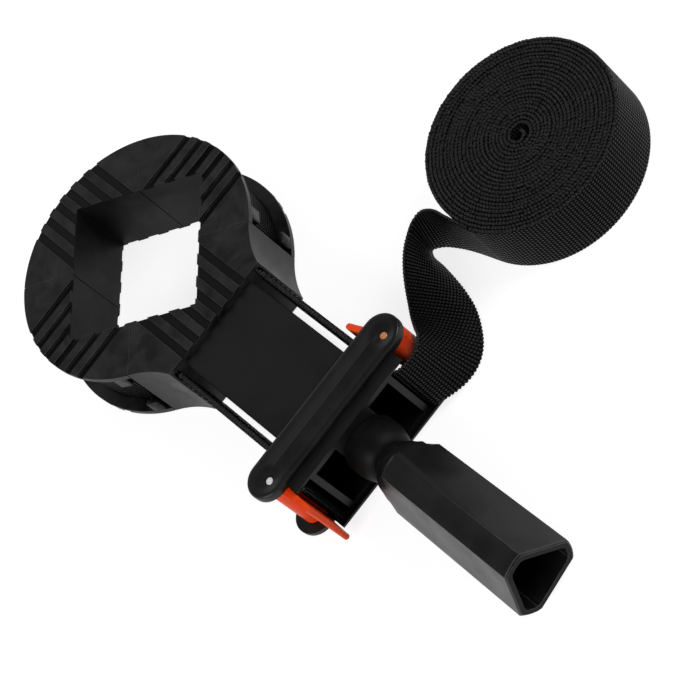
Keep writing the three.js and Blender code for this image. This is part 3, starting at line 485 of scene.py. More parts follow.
@dataclass
class Mouldings:
    """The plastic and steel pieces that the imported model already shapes.

    What shows gets a merged copy, so that its rounds shade as rounds and its flats as flats.
    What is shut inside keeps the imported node.
    """

    # Grained black ABS: a dull, slightly cloudy black, with a pale highlight painted along every
    # edge, the seams' too.
    jaw: MouldedPlastic = MouldedPlastic(
        "grained_black_abs", "#060607", "#272728", Polish.GRAINED, 0.42, flow_mm=8.0,
        specular=0.32, edge_mm=0.3, edge_highlight_colour="#545454")
    # The same ABS as a shaded copy, darker and with less reflection: painted shade on the V
    # walls, the groove floors and the handle's cut end.
    shade_finish: MouldedPlastic = MouldedPlastic(
        "painted_shade_black_abs", "#080809", "#111112", Polish.GRAINED, 0.5, specular=0.17)
    # Turned nylon, slightly greasy to the touch: almost no reflection on its round back.
    collar: MouldedPlastic = MouldedPlastic(
        "turned_black_nylon", "#0a0a0a", "#101010", Polish.SATIN, 0.5, flow_mm=5.0,
        specular=0.12)
    # Glass-filled nylon: an even satin charcoal that shows large flat faces as one tone.
    body: MouldedPlastic = MouldedPlastic(
        "satin_black_nylon", "#0e0e0e", "#131314", Polish.SATIN, 0.42, flow_mm=22.0,
        specular=0.32)
    # Smooth ABS: long soft reflections down each flat, and a fine pale highlight painted along
    # its corners.
    grip: MouldedPlastic = MouldedPlastic(
        "smooth_black_abs", "#101011", "#1a1a1b", Polish.SATIN, 0.34,
        grain_depth_mm=0.005, flow_mm=16.0, edge_mm=0.4, specular=0.42,
        edge_highlight_colour="#6a6a6a")
    # Orange acetal: a saturated signal colour that glows a little, because light enters it.
    lever: MouldedPlastic = MouldedPlastic(
        "orange_acetal", "#ff450c", "#ff561a", Polish.SATIN, 0.4,
        grain_depth_mm=0.006, flow_mm=6.0, edge_mm=0.2, specular=0.3, subsurface=0.12)
    # Bright zinc over steel: cold, clouded silver, seen only down the handle's hollow.
    steel: PlatedSteel = PlatedSteel("zinc_plated_steel", "#dcdbd7", "#b3b2ad", 0.28)
    merge_distance: float = 0.002
    sharp_degrees: float = 34.0
    face_weight: int = 80
    axis_height: float = AXIS_HEIGHT
    groove_floor: float = 14.05
    # How far each jaw's groove floors are sunk, or raised where the value is negative.
    groove_sinks: dict[str, float] = field(default_factory=lambda: {
        "head_jaw": 0.0, "left_jaw": 0.3, "right_jaw": 0.3, "far_jaw": -0.2})
    point_tolerance: float = 0.01
    face_tolerance: float = 0.05
    # Under the first part of its direction along Z a face is a wall, and over the second a
    # floor. Over the third part along X, it is the handle's end.
    wall_facing: float = 0.3
    floor_facing: float = 0.9
    end_facing: float = 0.95
    end_depth: float = 0.5
    ring_x: float = RING_X
    hole_reach: float = 43.5
    body_nodes: tuple[str, ...] = ("housing_body", "plunger")
    collar_nodes: tuple[str, ...] = ("spindle_boss",)
    grip_nodes: tuple[str, ...] = ("handle",)
    lever_nodes: tuple[str, ...] = ("cam_left", "cam_right")
    steel_nodes: tuple[str, ...] = ("plunger_screw", "handle_nut", "spindle")
    inner_nodes: tuple[str, ...] = ("plunger_nut", "thrust_washer", "spindle_clip")
    # The shaded copy of the ABS, which paints shade on the faces that shaded_faces finds.
    shade_material: bpy.types.Material | None = field(default=None, repr=False)

    def deepen_grooves(self, corners: np.ndarray, sink: float) -> None:
        """Moves the floors of a jaw's grooves to where the photograph shows them.

        Args:
            corners: The jaw's points in millimetres, changed in place.
            sink: How far the floors go down, or up where it is negative.
        """
        above = corners[:, 2] - self.axis_height
        floors = np.abs(np.abs(above) - self.groove_floor) < self.point_tolerance
        corners[floors, 2] -= np.sign(above[floors]) * sink

    def shaded_faces(self, name: str, middles: np.ndarray, normals: np.ndarray) -> np.ndarray:
        """Finds the faces that get painted shade: V walls, groove floors, the handle's cut end.

        Args:
            name: The node.
            middles: The faces' middles in millimetres.
            normals: The faces' directions.

        Returns:
            True for each face that gets painted shade.
        """
        if name in self.grip_nodes:
            at_end = middles[:, 0] > middles[:, 0].max() - self.end_depth
            return at_end & (normals[:, 0] > self.end_facing)
        reach = np.abs(middles[:, 0] - self.ring_x) + np.abs(middles[:, 1])
        upright = np.abs(normals[:, 2])
        walls = (upright < self.wall_facing) & (reach < self.hole_reach)
        floor = self.groove_floor - self.groove_sinks[name]
        away = np.abs(np.abs(middles[:, 2] - self.axis_height) - floor)
        return walls | ((upright > self.floor_facing) & (away < self.face_tolerance))

    def paint_shade(self, piece: bpy.types.Object, name: str) -> None:
        """Gives a piece's V walls, groove floors or cut end the shaded copy of its finish, as
        painted shade.

        Args:
            piece: The piece.
            name: The node that it stands for.
        """
        count = len(piece.data.polygons)
        middles, normals = np.empty(count * 3), np.empty(count * 3)
        piece.data.polygons.foreach_get("center", middles)
        piece.data.polygons.foreach_get("normal", normals)
        shaded = self.shaded_faces(name, middles.reshape(-1, 3) / MM, normals.reshape(-1, 3))
        piece.data.materials.append(self.shade_material)
        piece.data.polygons.foreach_set("material_index", shaded.astype(np.int32))

    def finished_copy(self, name: str, material: bpy.types.Material) -> None:
        """Merges a copy of a node, marks its creases and weights its normals by area.

        The copy stands for the node and rides where it does.

        Args:
            name: The node's name.
            material: The copy's finish.
        """
        shell = bmesh.new()
        shell.from_mesh(frame["nodes"][name].data)
        bmesh.ops.remove_doubles(shell, verts=shell.verts, dist=self.merge_distance * MM)
        shell.verts.index_update()
        corners = np.array([vertex.co for vertex in shell.verts]) / MM
        faces = [tuple(vertex.index for vertex in face.verts) for face in shell.faces]
        shell.free()
        if name in self.groove_sinks:
            self.deepen_grooves(corners, self.groove_sinks[name])
        piece = mesh_object(name + "_moulded", corners, faces, material)
        # Painted shade on the jaws' V walls and groove floors and on the handle's cut end.
        if name in self.groove_sinks or name in self.grip_nodes:
            self.paint_shade(piece, name)
        piece.data.set_sharp_from_angle(angle=math.radians(self.sharp_degrees))
        weighting = piece.modifiers.new("flats", "WEIGHTED_NORMAL")
        weighting.keep_sharp = True
        weighting.weight = self.face_weight
        piece.data = bake(piece)
        for body, nodes in frame["record"]["behaviour"]["bodies"].items():
            if name in nodes:
                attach(piece, body)
        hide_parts(name)

    def dress(self) -> None:
        """Gives every moulded or turned node its finish."""
        self.shade_material = self.shade_finish.build()
        for finish, shown, shut_in in (
                (self.jaw, tuple(self.groove_sinks), ()), (self.body, self.body_nodes, ()),
                (self.collar, self.collar_nodes, ()), (self.grip, self.grip_nodes, ()),
                (self.lever, self.lever_nodes, ()),
                (self.steel, self.steel_nodes, self.inner_nodes)):
            material = finish.build()
            for name in shown:
                self.finished_copy(name, material)
            for name in shut_in:
                frame["nodes"][name].data.materials.clear()
                frame["nodes"][name].data.materials.append(material)
            for name in shown + shut_in:
                LOG.info("%s dressed in %s", name, finish.name)


@dataclass
class CamPins:
    """The steel pins that the cam levers turn on, headed over by a punch at both ends."""

    axis_height: float = AXIS_HEIGHT
    pin_y: float = PIN_Y
    radius: float = 1.1
    head_radius: float = 1.5
    seat: float = 14.75
    top: float = 15.35
    # The head's outline from its edge over its top into the punch mark, as shares of its
    # radius and of its height.
    head_shares: tuple[tuple[float, float], ...] = (
        (1.0, 0.0), (1.0, 0.35), (0.93, 0.62), (0.78, 0.84), (0.55, 0.97), (0.38, 1.0),
        (0.2, 0.8), (0.0, 0.68))
    steps: int = 40
    sharp_degrees: float = 50.0
    # Zinc on a hammered head: a nearly white dot. Copper wash: a small orange glint.
    bright: PlatedSteel = PlatedSteel(
        "zinc_plated_pin_steel", "#ffffff", "#efeeea", 0.42, metallic=0.15)
    washed: PlatedSteel = PlatedSteel(
        "copper_washed_pin_steel", "#ffb680", "#e07838", 0.4, metallic=0.4)

    def build_one(self, name: str, node: str, y: float, finish: PlatedSteel) -> None:
        """Turns one pin from its profile.

        Args:
            name: The piece's name.
            node: The node that it stands for.
            y: Where the pin stands.
            finish: The pin's finish.
        """
        rise = self.top - self.seat
        upper = [(self.radius, self.seat)]
        upper += [(self.head_radius * r, self.seat + z * rise) for r, z in self.head_shares]
        profile = [(r, -z) for r, z in reversed(upper)] + upper
        turn = np.linspace(0, 2 * math.pi, self.steps, endpoint=False)
        points, rings, faces = [], [], []
        for r, z in profile:
            angles = turn if r else turn[:1]
            rings.append(range(len(points), len(points) + len(angles)))
            points += [(r * math.cos(a), y + r * math.sin(a), self.axis_height + z)
                       for a in angles]
        for low, high in zip(rings, rings[1:]):
            for at in range(self.steps):
                after = (at + 1) % self.steps
                square = (low[at % len(low)], low[after % len(low)],
                          high[after % len(high)], high[at % len(high)])
                # Beside a pole, two of the square's corners are one point.
                faces.append(tuple(dict.fromkeys(square)))
        piece = mesh_object(name, np.array(points), faces, finish.build())
        piece.data.set_sharp_from_angle(angle=math.radians(self.sharp_degrees))
        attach(piece, "housing")
        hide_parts(node)
        LOG.info("%s dressed in %s", name, finish.name)

    def build(self) -> None:
        """Builds both pins."""
        self.build_one("headed_pin_left", "cam_pin_left", self.pin_y, self.washed)
        self.build_one("headed_pin_right", "cam_pin_right", -self.pin_y, self.bright)


@dataclass
class RimTabs:
    """Small tabs at the rims of the loose jaws, which keep a slack strap in its channel."""

    axis_height: float = AXIS_HEIGHT
    ring_x: float = RING_X
    inner_radius: float = 45.4
    outer_radius: float = 47.45
    seam_degrees: float = 38.6
    length: float = 5.0
    root: float = 12.9
    tip: float = 7.4
    soft: float = 0.35
    sharp_degrees: float = 50.0
    jaws: tuple[tuple[str, str, float], ...] = (
        ("left_jaw", "left_jaw", 90.0), ("right_jaw", "right_jaw", -90.0),
        ("far_jaw", "head", 180.0))

    def tab(self, degrees: float, side: int) -> tuple[np.ndarray, list[tuple[int, ...]]]:
        """One tab with softened edges.

        Args:
            degrees: Where it stands on the ring.
            side: 1 under the upper flange, -1 on the lower one.

        Returns:
            Its points and faces.
        """
        half, soft = self.length / 2, self.soft
        inner, outer = self.inner_radius, self.outer_radius
        outline = ((-half + soft, inner), (half - soft, inner), (half, inner + soft),
                   (half, outer - soft), (half - soft, outer), (-half + soft, outer),
                   (-half, outer - soft), (-half, inner + soft))
        levels = ((self.root, 0.0), (self.tip + soft, 0.0), (self.tip, soft))
        points = []
        for height, draw in levels:
            for along, radius in outline:
                radius += draw * np.sign((inner + outer) / 2 - radius)
                along -= draw * np.sign(along)
                angle = math.radians(degrees) + along / radius
                points.append((self.ring_x + radius * math.cos(angle), radius * math.sin(angle),
                               self.axis_height + side * height))
        count = len(outline)
        faces = band_faces(len(levels), count)
        faces += [tuple(reversed(range(count))), tuple(range(len(points) - count, len(points)))]
        return np.array(points), faces

    def build(self, material: bpy.types.Material) -> None:
        """Builds the tabs of each loose jaw as one piece.

        Args:
            material: The jaws' finish.
        """
        for jaw, body, middle in self.jaws:
            points, faces = [], []
            for degrees in (middle - self.seam_degrees, middle + self.seam_degrees):
                for side in (1, -1):
                    corners, sides = self.tab(degrees, side)
                    before = len(points) * len(corners)
                    faces += [tuple(at + before for at in face) for face in sides]
                    points.append(corners)
            piece = mesh_object("rim_tabs_" + jaw, np.concatenate(points), faces, material)
            shell = bmesh.new()
            shell.from_mesh(piece.data)
            write_shell(shell, piece, self.sharp_degrees)
            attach(piece, body)
            LOG.info("%s: %d tabs", piece.name, len(points))


@dataclass
class CoverPlates:
    """The two obround plates over the cam pins, with a rim, soft valleys and a long ridge."""

    axis_height: float = AXIS_HEIGHT
    pin_y: float = PIN_Y
    half_width: float = 7.4
    underside: float = 12.8
    ear_room: float = 14.1
    ear_room_y: float = 27.8
    step_width: float = 0.02
    least_wall: float = 0.01
    # From the rim to the middle line: how far in from the rim, and the height there.
    profile: tuple[tuple[float, float], ...] = (
        (0.0, 14.2), (0.1, 14.75), (0.3, 15.1), (0.65, 15.34), (1.1, 15.44), (1.6, 15.46),
        (2.3, 15.44), (3.1, 15.44), (4.0, 15.47), (5.0, 15.53), (6.0, 15.6), (6.9, 15.65),
        (7.1, 15.66), (7.3, 15.72))
    dish_reach: float = 5.2
    dish_floor: float = 14.9
    front_shift: float = -1.5
    front_lift: float = 0.8
    arc_steps: int = 28
    straight_steps: int = 60
    merge_distance: float = 0.0001
    sharp_degrees: float = 40.0
    # Nylon from a polished mould: smoother than the housing, with a soft line at its ridge.
    nylon: MouldedPlastic = MouldedPlastic(
        "polished_black_nylon", "#0d0d0d", "#161616", Polish.POLISHED, 0.38,
        grain_depth_mm=0.0015, flow_mm=9.0, edge_mm=0.2, specular=0.38)

    def ring(self, inset: float) -> np.ndarray:
        """Points round the obround outline, drawn in by a distance.

        Args:
            inset: Distance from the outline in millimetres.

        Returns:
            Rows of X and Y, anticlockwise from above.
        """
        radius = self.half_width - inset
        end = self.ear_room_y + self.step_width
        inner = np.linspace(-self.ear_room_y, self.ear_room_y, self.straight_steps)
        run = np.concatenate([[-end], inner, [end]])
        turn = np.linspace(0, math.pi, self.arc_steps)
        right = np.stack([np.full_like(run, radius), run], 1)
        top = np.stack([radius * np.cos(turn), self.pin_y + radius * np.sin(turn)], 1)
        return np.concatenate([right, top, -right, -top])

    def heights(self, plan: np.ndarray, level: float) -> np.ndarray:
        """Heights above the axis for a ring, lowered round each pin's head.

        Args:
            plan: Rows of X and Y.
            level: The profile's height.

        Returns:
            One height for each row.
        """
        away = np.hypot(plan[:, 0], np.abs(plan[:, 1]) - self.pin_y)
        near = np.clip(1 - away / self.dish_reach, 0, 1)
        return level - max(0.0, level - self.dish_floor) * eased(near)

    def build_one(self, name: str, node: str, side: int, shift: float, lift: float,
                  material: bpy.types.Material) -> None:
        """Builds the plate above or below the housing as a closed mesh.

        Args:
            name: The piece's name.
            node: The node that it stands for.
            side: 1 for the plate on top, -1 for the one on the bench.
            shift: How far its middle line lies from the pins along X.
            lift: How much higher its face stands than the profile says.
            material: The plate's finish.
        """
        outline = self.ring(0.0)
        under = np.where(np.abs(outline[:, 1]) <= self.ear_room_y + self.step_width / 2,
                         self.ear_room, self.underside)
        rings = [np.column_stack([outline, np.minimum(under, self.profile[0][1])])]
        for inset, level in self.profile:
            plan = self.ring(inset)
            height = self.heights(plan + np.array([shift, 0.0]), level + lift)
            if inset == 0.0:
                height = np.maximum(height, rings[0][:, 2] + self.least_wall)
            rings.append(np.column_stack([plan, height]))
        points = np.concatenate(rings) + np.array([shift, 0.0, 0.0])
        piece = mesh_object(name, points, band_faces(len(rings), len(outline)), material)
        shell = bmesh.new()
        shell.from_mesh(piece.data)
        bmesh.ops.remove_doubles(shell, verts=shell.verts, dist=self.merge_distance * MM)
        bmesh.ops.holes_fill(shell, edges=[e for e in shell.edges if e.is_boundary], sides=0)
        bmesh.ops.triangulate(shell, faces=[f for f in shell.faces if len(f.verts) > 4])
        for vertex in shell.verts:
            vertex.co.z = (self.axis_height * MM) + side * vertex.co.z
        write_shell(shell, piece, self.sharp_degrees)
        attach(piece, "housing")
        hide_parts(node)
        LOG.info("%s dressed in %s", name, self.nylon.name)

    def build(self) -> None:
        """Builds both plates."""
        material = self.nylon.build()
        self.build_one("cover_plate_front", "front_plate", 1, self.front_shift, self.front_lift,
                       material)
        self.build_one("cover_plate_rear", "rear_plate", -1, 0.0, 0.0, material)


@dataclass
class Selvedge:
    """The chain of yarn loops along both edges of the webbing."""

    pitch: float = 1.34
    length: float = 1.6
    height: float = 0.9
    inset_share: float = 0.35
    end_share: float = 0.25
    slant_degrees: float = 12.0
    lower_slant_degrees: float = 8.0
    unevenness: float = 0.0
    stray: float = 0.4
    seed: int = 11
    sides: int = 5
    rings: int = 4
    tree: bpy.types.NodeTree | None = field(default=None, repr=False)

    def loops_tree(self, material: bpy.types.Material) -> bpy.types.NodeTree:
        """Builds the tree that sets one slanted yarn loop on each point of a mesh.

        Args:
            material: The yarn's finish.

        Returns:
            The Geometry Nodes tree, with the loop's sizes as its named inputs.
        """
        tree = bpy.data.node_groups.new("selvedge_loops", "GeometryNodeTree")
        interface = tree.interface
        interface.new_socket("Geometry", in_out="INPUT", socket_type="NodeSocketGeometry")
        for name in ("Loop Length", "Loop Thickness", "Loop Height"):
            interface.new_socket(name, in_out="INPUT", socket_type="NodeSocketFloat")
        interface.new_socket("Geometry", in_out="OUTPUT", socket_type="NodeSocketGeometry")
        given = add_node(tree, "NodeGroupInput")
        ball = add_node(tree, "GeometryNodeMeshUVSphere", inputs={
            "Segments": self.sides, "Rings": self.rings, "Radius": 0.5})
        size = add_node(tree, "ShaderNodeCombineXYZ", inputs={
            0: given.outputs["Loop Length"], 1: given.outputs["Loop Thickness"],
            2: given.outputs["Loop Height"]})
        loop = add_node(tree, "GeometryNodeTransform", inputs={
            "Geometry": ball.outputs["Mesh"], "Scale": size.outputs[0]})
        turn = add_node(tree, "GeometryNodeInputNamedAttribute", {"data_type": "FLOAT_VECTOR"},
                        {"Name": "turn"})
        set_down = add_node(tree, "GeometryNodeInstanceOnPoints", inputs={
            "Points": given.outputs["Geometry"], "Instance": loop.outputs["Geometry"],
            "Rotation": turn.outputs["Attribute"]})
        real = add_node(tree, "GeometryNodeRealizeInstances",
                        inputs={"Geometry": set_down.outputs["Instances"]})
        finish = add_node(tree, "GeometryNodeSetMaterial", inputs={
            "Geometry": real.outputs["Geometry"], "Material": material})
        add_node(tree, "NodeGroupOutput", inputs={"Geometry": finish.outputs["Geometry"]})
        return tree

    def loop_places(self, path: "StrapPath", half_width: float) -> tuple[np.ndarray, np.ndarray]:
        """Works out where each loop lies and how it is turned.

        Args:
            path: The stretch's centreline and directions.
            half_width: Half of the strap's width.

        Returns:
            Places in millimetres and turns as Euler angles, one row for each loop.
        """
        margin = self.pitch * self.end_share
        marks = np.arange(self.pitch * math.ceil(path.start / self.pitch),
                          path.start + path.length, self.pitch) - path.start
        marks = marks[(marks > margin) & (marks < path.length - margin)]
        inset = half_width - self.height * self.inset_share
        draw = np.random.default_rng(self.seed)
        places, turns = [], []
        for side in (1.0, -1.0):
            lean = self.slant_degrees if side > 0 else self.lower_slant_degrees
            uneven = self.unevenness if side > 0 else 0.0
            for centre, across, through, along in zip(*path.at(marks)):
                slant = math.radians(lean) * side * (1 + uneven * draw.uniform(-1, 1))
                centre = centre + across * uneven * draw.uniform(-self.stray, self.stray)
                forward = along * math.cos(slant) + through * math.sin(slant)
                sideways = through * math.cos(slant) - along * math.sin(slant)
                places.append(centre + side * across * inset)
                basis = Matrix((forward, sideways, np.cross(forward, sideways))).transposed()
                turns.append(tuple(basis.to_euler("XYZ")))
        return np.array(places), np.array(turns, np.float32)

    def build(self, name: str, path: "StrapPath", half_width: float, thickness: float,
              material: bpy.types.Material) -> bpy.types.Object:
        """Sets yarn loops along both edges of a stretch of strap.

        Args:
            name: The piece's name.
            path: The stretch's centreline and directions.
            half_width: Half of the strap's width.
            thickness: How thick a loop is.
            material: The yarn's finish.

        Returns:
            One plain mesh with all the loops.
        """
        if self.tree is None:
            self.tree = self.loops_tree(material)
        places, turns = self.loop_places(path, half_width)
        mesh = bpy.data.meshes.new(name)
        mesh.from_pydata((places * MM).tolist(), [], [])
        attribute = mesh.attributes.new("turn", "FLOAT_VECTOR", "POINT")
        attribute.data.foreach_set("vector", turns.ravel())
        holder = link_object(name + "_points", mesh)
        modifier = holder.modifiers.new("loops", "NODES")
        modifier.node_group = self.tree
        sockets = {item.name: item.identifier for item in self.tree.interface.items_tree
                   if item.in_out == "INPUT"}
        modifier[sockets["Loop Length"]] = self.length * MM
        modifier[sockets["Loop Thickness"]] = thickness * MM
        modifier[sockets["Loop Height"]] = self.height * MM
        baked = bake(holder)
        bpy.data.objects.remove(holder)
        baked.name = name
        shade_smooth(baked)
        if not baked.materials:
            baked.materials.append(material)
        return link_object(name, baked)


@dataclass
class StrapPath:
    """A stretch of strap: points along its middle with the direction of its width."""

    centres: np.ndarray
    widths: np.ndarray
    start: float = 0.0

    def __post_init__(self) -> None:
        """Works out distances and directions along the stretch."""
        steps = np.linalg.norm(np.diff(self.centres, axis=0), axis=1)
        self.reach = np.concatenate([[0.0], np.cumsum(steps)])
        self.length = float(self.reach[-1])
        self.along = unit(np.gradient(self.centres, self.reach, axis=0))
        self.through = unit(np.cross(self.along, self.widths))
        self.widths = unit(self.widths)

    def at(self, marks: np.ndarray) -> tuple[np.ndarray, ...]:
        """Middle, width, thickness and travel directions at distances along the stretch.

        Args:
            marks: Distances in millimetres.

        Returns:
            Four arrays with one row for each mark.
        """
        def blended(rows: np.ndarray) -> np.ndarray:
            """Rows of an array at the marks."""
            return np.stack([np.interp(marks, self.reach, rows[:, k]) for k in range(3)], 1)

        return (blended(self.centres), unit(blended(self.widths)),
                unit(blended(self.through)), unit(blended(self.along)))

    def cut(self, low: float, high: float, step: float) -> "StrapPath":
        """A part of the stretch, resampled.

        Args:
            low: Distance where the part begins.
            high: Distance where it ends.
            step: Largest distance between its points.

        Returns:
            The part as a stretch of its own, which knows where it began.
        """
        high = min(high, self.length)
        count = max(2, math.ceil((high - low) / step) + 1)
        middle, across, _, _ = self.at(np.linspace(low, high, count))
        return StrapPath(middle, across, self.start + low)


@dataclass
class Webbing:
    """The polyester strap: a loop round the jaws, a loose stretch and the roll."""

    width: float = 24.9
    thickness: float = 1.5
    spare_thickness: float = 1.3
    wound_thickness: float = 1.41
    open_thickness: float = 2.5
    open_run: tuple[float, float] = (-66.0, -8.0)
    swell_ramp: float = 6.0
    # An edge's rounding as a share of half the thickness, and its outline from the flat face
    # outwards: how far in from the edge, in roundings, and what share of that half it keeps.
    edge_share: float = 0.5
    edge_outline_shares: tuple[tuple[float, float], ...] = ((2.5, 1.0), (1.0, 0.8), (0.5, 0.0))
    # How thick the selvedge's loops are, as shares of each stretch's thickness.
    loop_share: float = 0.75
    spare_loop_share: float = 0.9
    wound_loop_share: float = 0.95
    axis_height: float = AXIS_HEIGHT
    ring_x: float = RING_X
    ring_radius: float = 42.3
    seam_degrees: tuple[float, float, float, float] = (45.0, 135.0, 225.0, 315.0)
    seam_reach: float = 4.0
    bend_radius: float = 27.0085
    bend_centre: float = 49.0085
    run_y: float = 22.0
    hold_x: float = -12.0
    exit_x: float = 8.0
    tail_bend_x: float = 2.0
    tail_end: tuple[float, float] = (12.0, -26.0)
    run_rings: int = 40
    arc_rings: int = 240
    tail_rings: int = 20
    ring_step: float = 0.8
    lift: float = 0.4
    level_rulings: int = 2
    # Lines straight across the loose stretch: its upper and its lower edge.
    rulings: tuple[tuple[float, float, float, float], ...] = (
        (8, 22, 8, 22), (9.3, 22, 9.4, 22), (11.3, 23.6, 12.2, 23.2),
        (12, 27, 14.2, 26.8), (11.4, 31.4, 15.8, 31.4), (8.6, 35, 16.4, 36.8),
        (4, 37.4, 15, 42.8), (-1.2, 38.6, 11, 48.4), (-6.2, 40.8, 5, 53),
        (-10.4, 44.2, -1.6, 56.6), (-14.4, 48.2, -9, 59), (-18.2, 52.6, -16.8, 60.6),
        (-21.6, 57, -24, 61.6), (-24.6, 61.6, -30.6, 62.2), (-26.8, 66.4, -33, 64),
        (-26.4, 70.6, -30, 67.2), (-22.6, 73.2, -23.6, 70.2), (-16.6, 73.8, -16.8, 72.4))
    free_rings: int = 420
    roll_centre: tuple[float, float] = (-13.0, 110.5)
    roll_pitch: float = 1.42
    roll_radius: float = 36.3
    roll_start_degrees: float = -78.0
    roll_turns: float = 23.0
    roll_rise: float = 0.3
    fold_turns: float = 0.62
    fold_radius: float = 0.7
    rings_a_turn: int = 90
    # How the turns stand up and down: height, rate and phase of each wave along the roll.
    waves: tuple[tuple[float, float, float], ...] = ((0.14, 0.83, 1.0), (0.1, 2.13, 0.0))
    drift: tuple[float, float] = (0.1, 4.1)
    weave: WovenWebbing = WovenWebbing("woven_black_polyester")
    yarn: YarnLoop = YarnLoop("black_polyester_yarn")
    selvedge: Selvedge = field(default_factory=Selvedge)
    roll_selvedge: Selvedge = field(default_factory=lambda: Selvedge(
        length=1.85, slant_degrees=38.0, unevenness=0.5))

    @staticmethod
    def arc(centre: tuple[float, float], radius: float, first: float, last: float,
            rings: int) -> list[tuple[float, float]]:
        """Points of an arc after its first, where the stretch before it ends.

        Args:
            centre: The arc's centre.
            radius: The arc's radius.
            first: Where it starts in degrees.
            last: Where it ends in degrees.
            rings: How many points it has with its first.

        Returns:
            Places in X and Y.
        """
        x, y = centre
        return [(x + radius * math.cos(math.radians(a)), y + radius * math.sin(math.radians(a)))
                for a in np.linspace(first, last, rings)[1:]]

    def loop_path(self) -> StrapPath:
        """The middle of the strap from the open cam round the ring to the tail.

        Returns:
            The whole loop as one stretch.
        """
        bend_x = self.ring_x + self.bend_centre
        head_left, _, _, head_right = self.seam_degrees
        plan = [(x, self.run_y) for x in np.linspace(self.exit_x, bend_x, self.run_rings)]
        plan += self.arc((bend_x, self.bend_centre), self.bend_radius, 270, 180 + head_left,
                         self.run_rings)
        plan += self.arc((self.ring_x, 0.0), self.ring_radius, head_left, head_right,
                         self.arc_rings)
        plan += self.arc((bend_x, -self.bend_centre), self.bend_radius, head_right - 180, 90,
                         self.run_rings)
        plan += [(x, -self.run_y)
                 for x in np.linspace(bend_x, self.tail_bend_x, self.run_rings)[1:]]
        end_x, end_y = self.tail_end
        for t in np.linspace(0, 1, self.tail_rings)[1:]:
            first, second, third = (1 - t) ** 2, 2 * t * (1 - t), t * t
            plan.append((first * self.tail_bend_x + second * (self.tail_bend_x + end_x) / 2
                         + third * end_x, -self.run_y * (first + second) + third * end_y))
        centres = np.array([(x, y, self.axis_height) for x, y in plan])
        return StrapPath(centres, np.tile([0.0, 0.0, 1.0], (len(plan), 1)))

    @staticmethod
    def smooth_curve(points: np.ndarray, samples: int) -> np.ndarray:
        """A centripetal curve through points, sampled evenly by span.

        Args:
            points: The points that it passes through.
            samples: How many samples to return.

        Returns:
            The samples, one row each.
        """
        padded = np.vstack([2 * points[0] - points[1], points, 2 * points[-1] - points[-2]])
        out = []
        for place in np.linspace(0, len(points) - 1, samples):
            span = min(int(place), len(points) - 2)
            t = place - span
            p0, p1, p2, p3 = padded[span:span + 4]
            d0, d1, d2 = (np.linalg.norm(b - a) ** 0.5 for a, b in ((p0, p1), (p1, p2), (p2, p3)))
            m1 = ((p1 - p0) / d0 - (p2 - p0) / (d0 + d1) + (p2 - p1) / d1) * d1
            m2 = ((p2 - p1) / d1 - (p3 - p1) / (d1 + d2) + (p3 - p2) / d2) * d1
            out.append(p1 + m1 * t + (-3 * p1 + 3 * p2 - 2 * m1 - m2) * t ** 2
                       + (2 * p1 - 2 * p2 + m1 + m2) * t ** 3)
        return np.array(out)

    def free_path(self) -> StrapPath:
        """The loose stretch, which leans and twists on its way from the cam to the roll.

        Returns:
            The stretch.
        """
        count = len(self.rulings)
        upper, lower = [], []
        start_low = self.axis_height - self.width / 2
        for at, (ux, uy, lx, ly) in enumerate(self.rulings):
            t = min(max((at - self.level_rulings) / (count / 2 - self.level_rulings), 0), 1)
            low = start_low + (self.lift - start_low) * eased(t)
            plan = math.hypot(ux - lx, uy - ly)
            lower.append((lx, ly, low))
            upper.append((ux, uy, low + math.sqrt(self.width ** 2 - plan ** 2)))
        join = math.radians(self.roll_start_degrees)
        x = self.roll_centre[0] + self.roll_radius * math.cos(join)
        y = self.roll_centre[1] + self.roll_radius * math.sin(join)
        lower.append((x, y, self.lift))
        upper.append((x, y, self.lift + self.width))
        top = self.smooth_curve(np.array(upper), self.free_rings)
        foot = self.smooth_curve(np.array(lower), self.free_rings)
        return StrapPath((top + foot) / 2, unit(top - foot))

    def roll_path(self) -> StrapPath:
        """The spiral of spare strap, whose turns stand a little unevenly.

        Returns:
            The stretch, wound inwards.
        """
        whole = self.roll_turns + self.fold_turns
        turns = np.linspace(0, whole, math.ceil(whole * self.rings_a_turn) + 1)
        angle = np.radians(self.roll_start_degrees) + 2 * np.pi * turns
        radius = self.roll_radius - self.roll_pitch * turns
        folded = np.clip((turns - self.roll_turns) / self.fold_turns, 0, 1)
        radius += (self.fold_radius - radius) * eased(folded)
        uneven = sum(size * np.sin(angle * rate + phase) for size, rate, phase in self.waves)
        uneven = uneven + self.drift[0] * np.sin(turns * self.drift[1])
        height = (self.lift + self.width / 2 + self.roll_rise * np.minimum(turns, 1)
                  + uneven * np.minimum(turns * 2, 1))
        centres = np.stack([self.roll_centre[0] + radius * np.cos(angle),
                            self.roll_centre[1] + radius * np.sin(angle), height], 1)
        return StrapPath(centres, np.tile([0.0, 0.0, 1.0], (len(turns), 1)))

    def section(self, thickness: float) -> np.ndarray:
        """The strap's cross-section, with edges rounded by the turning yarn.

        Args:
            thickness: Thickness in millimetres.

        Returns:
            Rows of distance across and distance through, in order round the section.
        """
        half, thick = self.width / 2, thickness / 2
        soft = thick * self.edge_share
        edge = [(half - inward * soft, share * thick)
                for inward, share in self.edge_outline_shares]
        side = [(-edge[0][0], thick), (-half / 3, thick), (half / 3, thick)] + edge
        return np.array(side + [(-across, -through) for across, through in side])

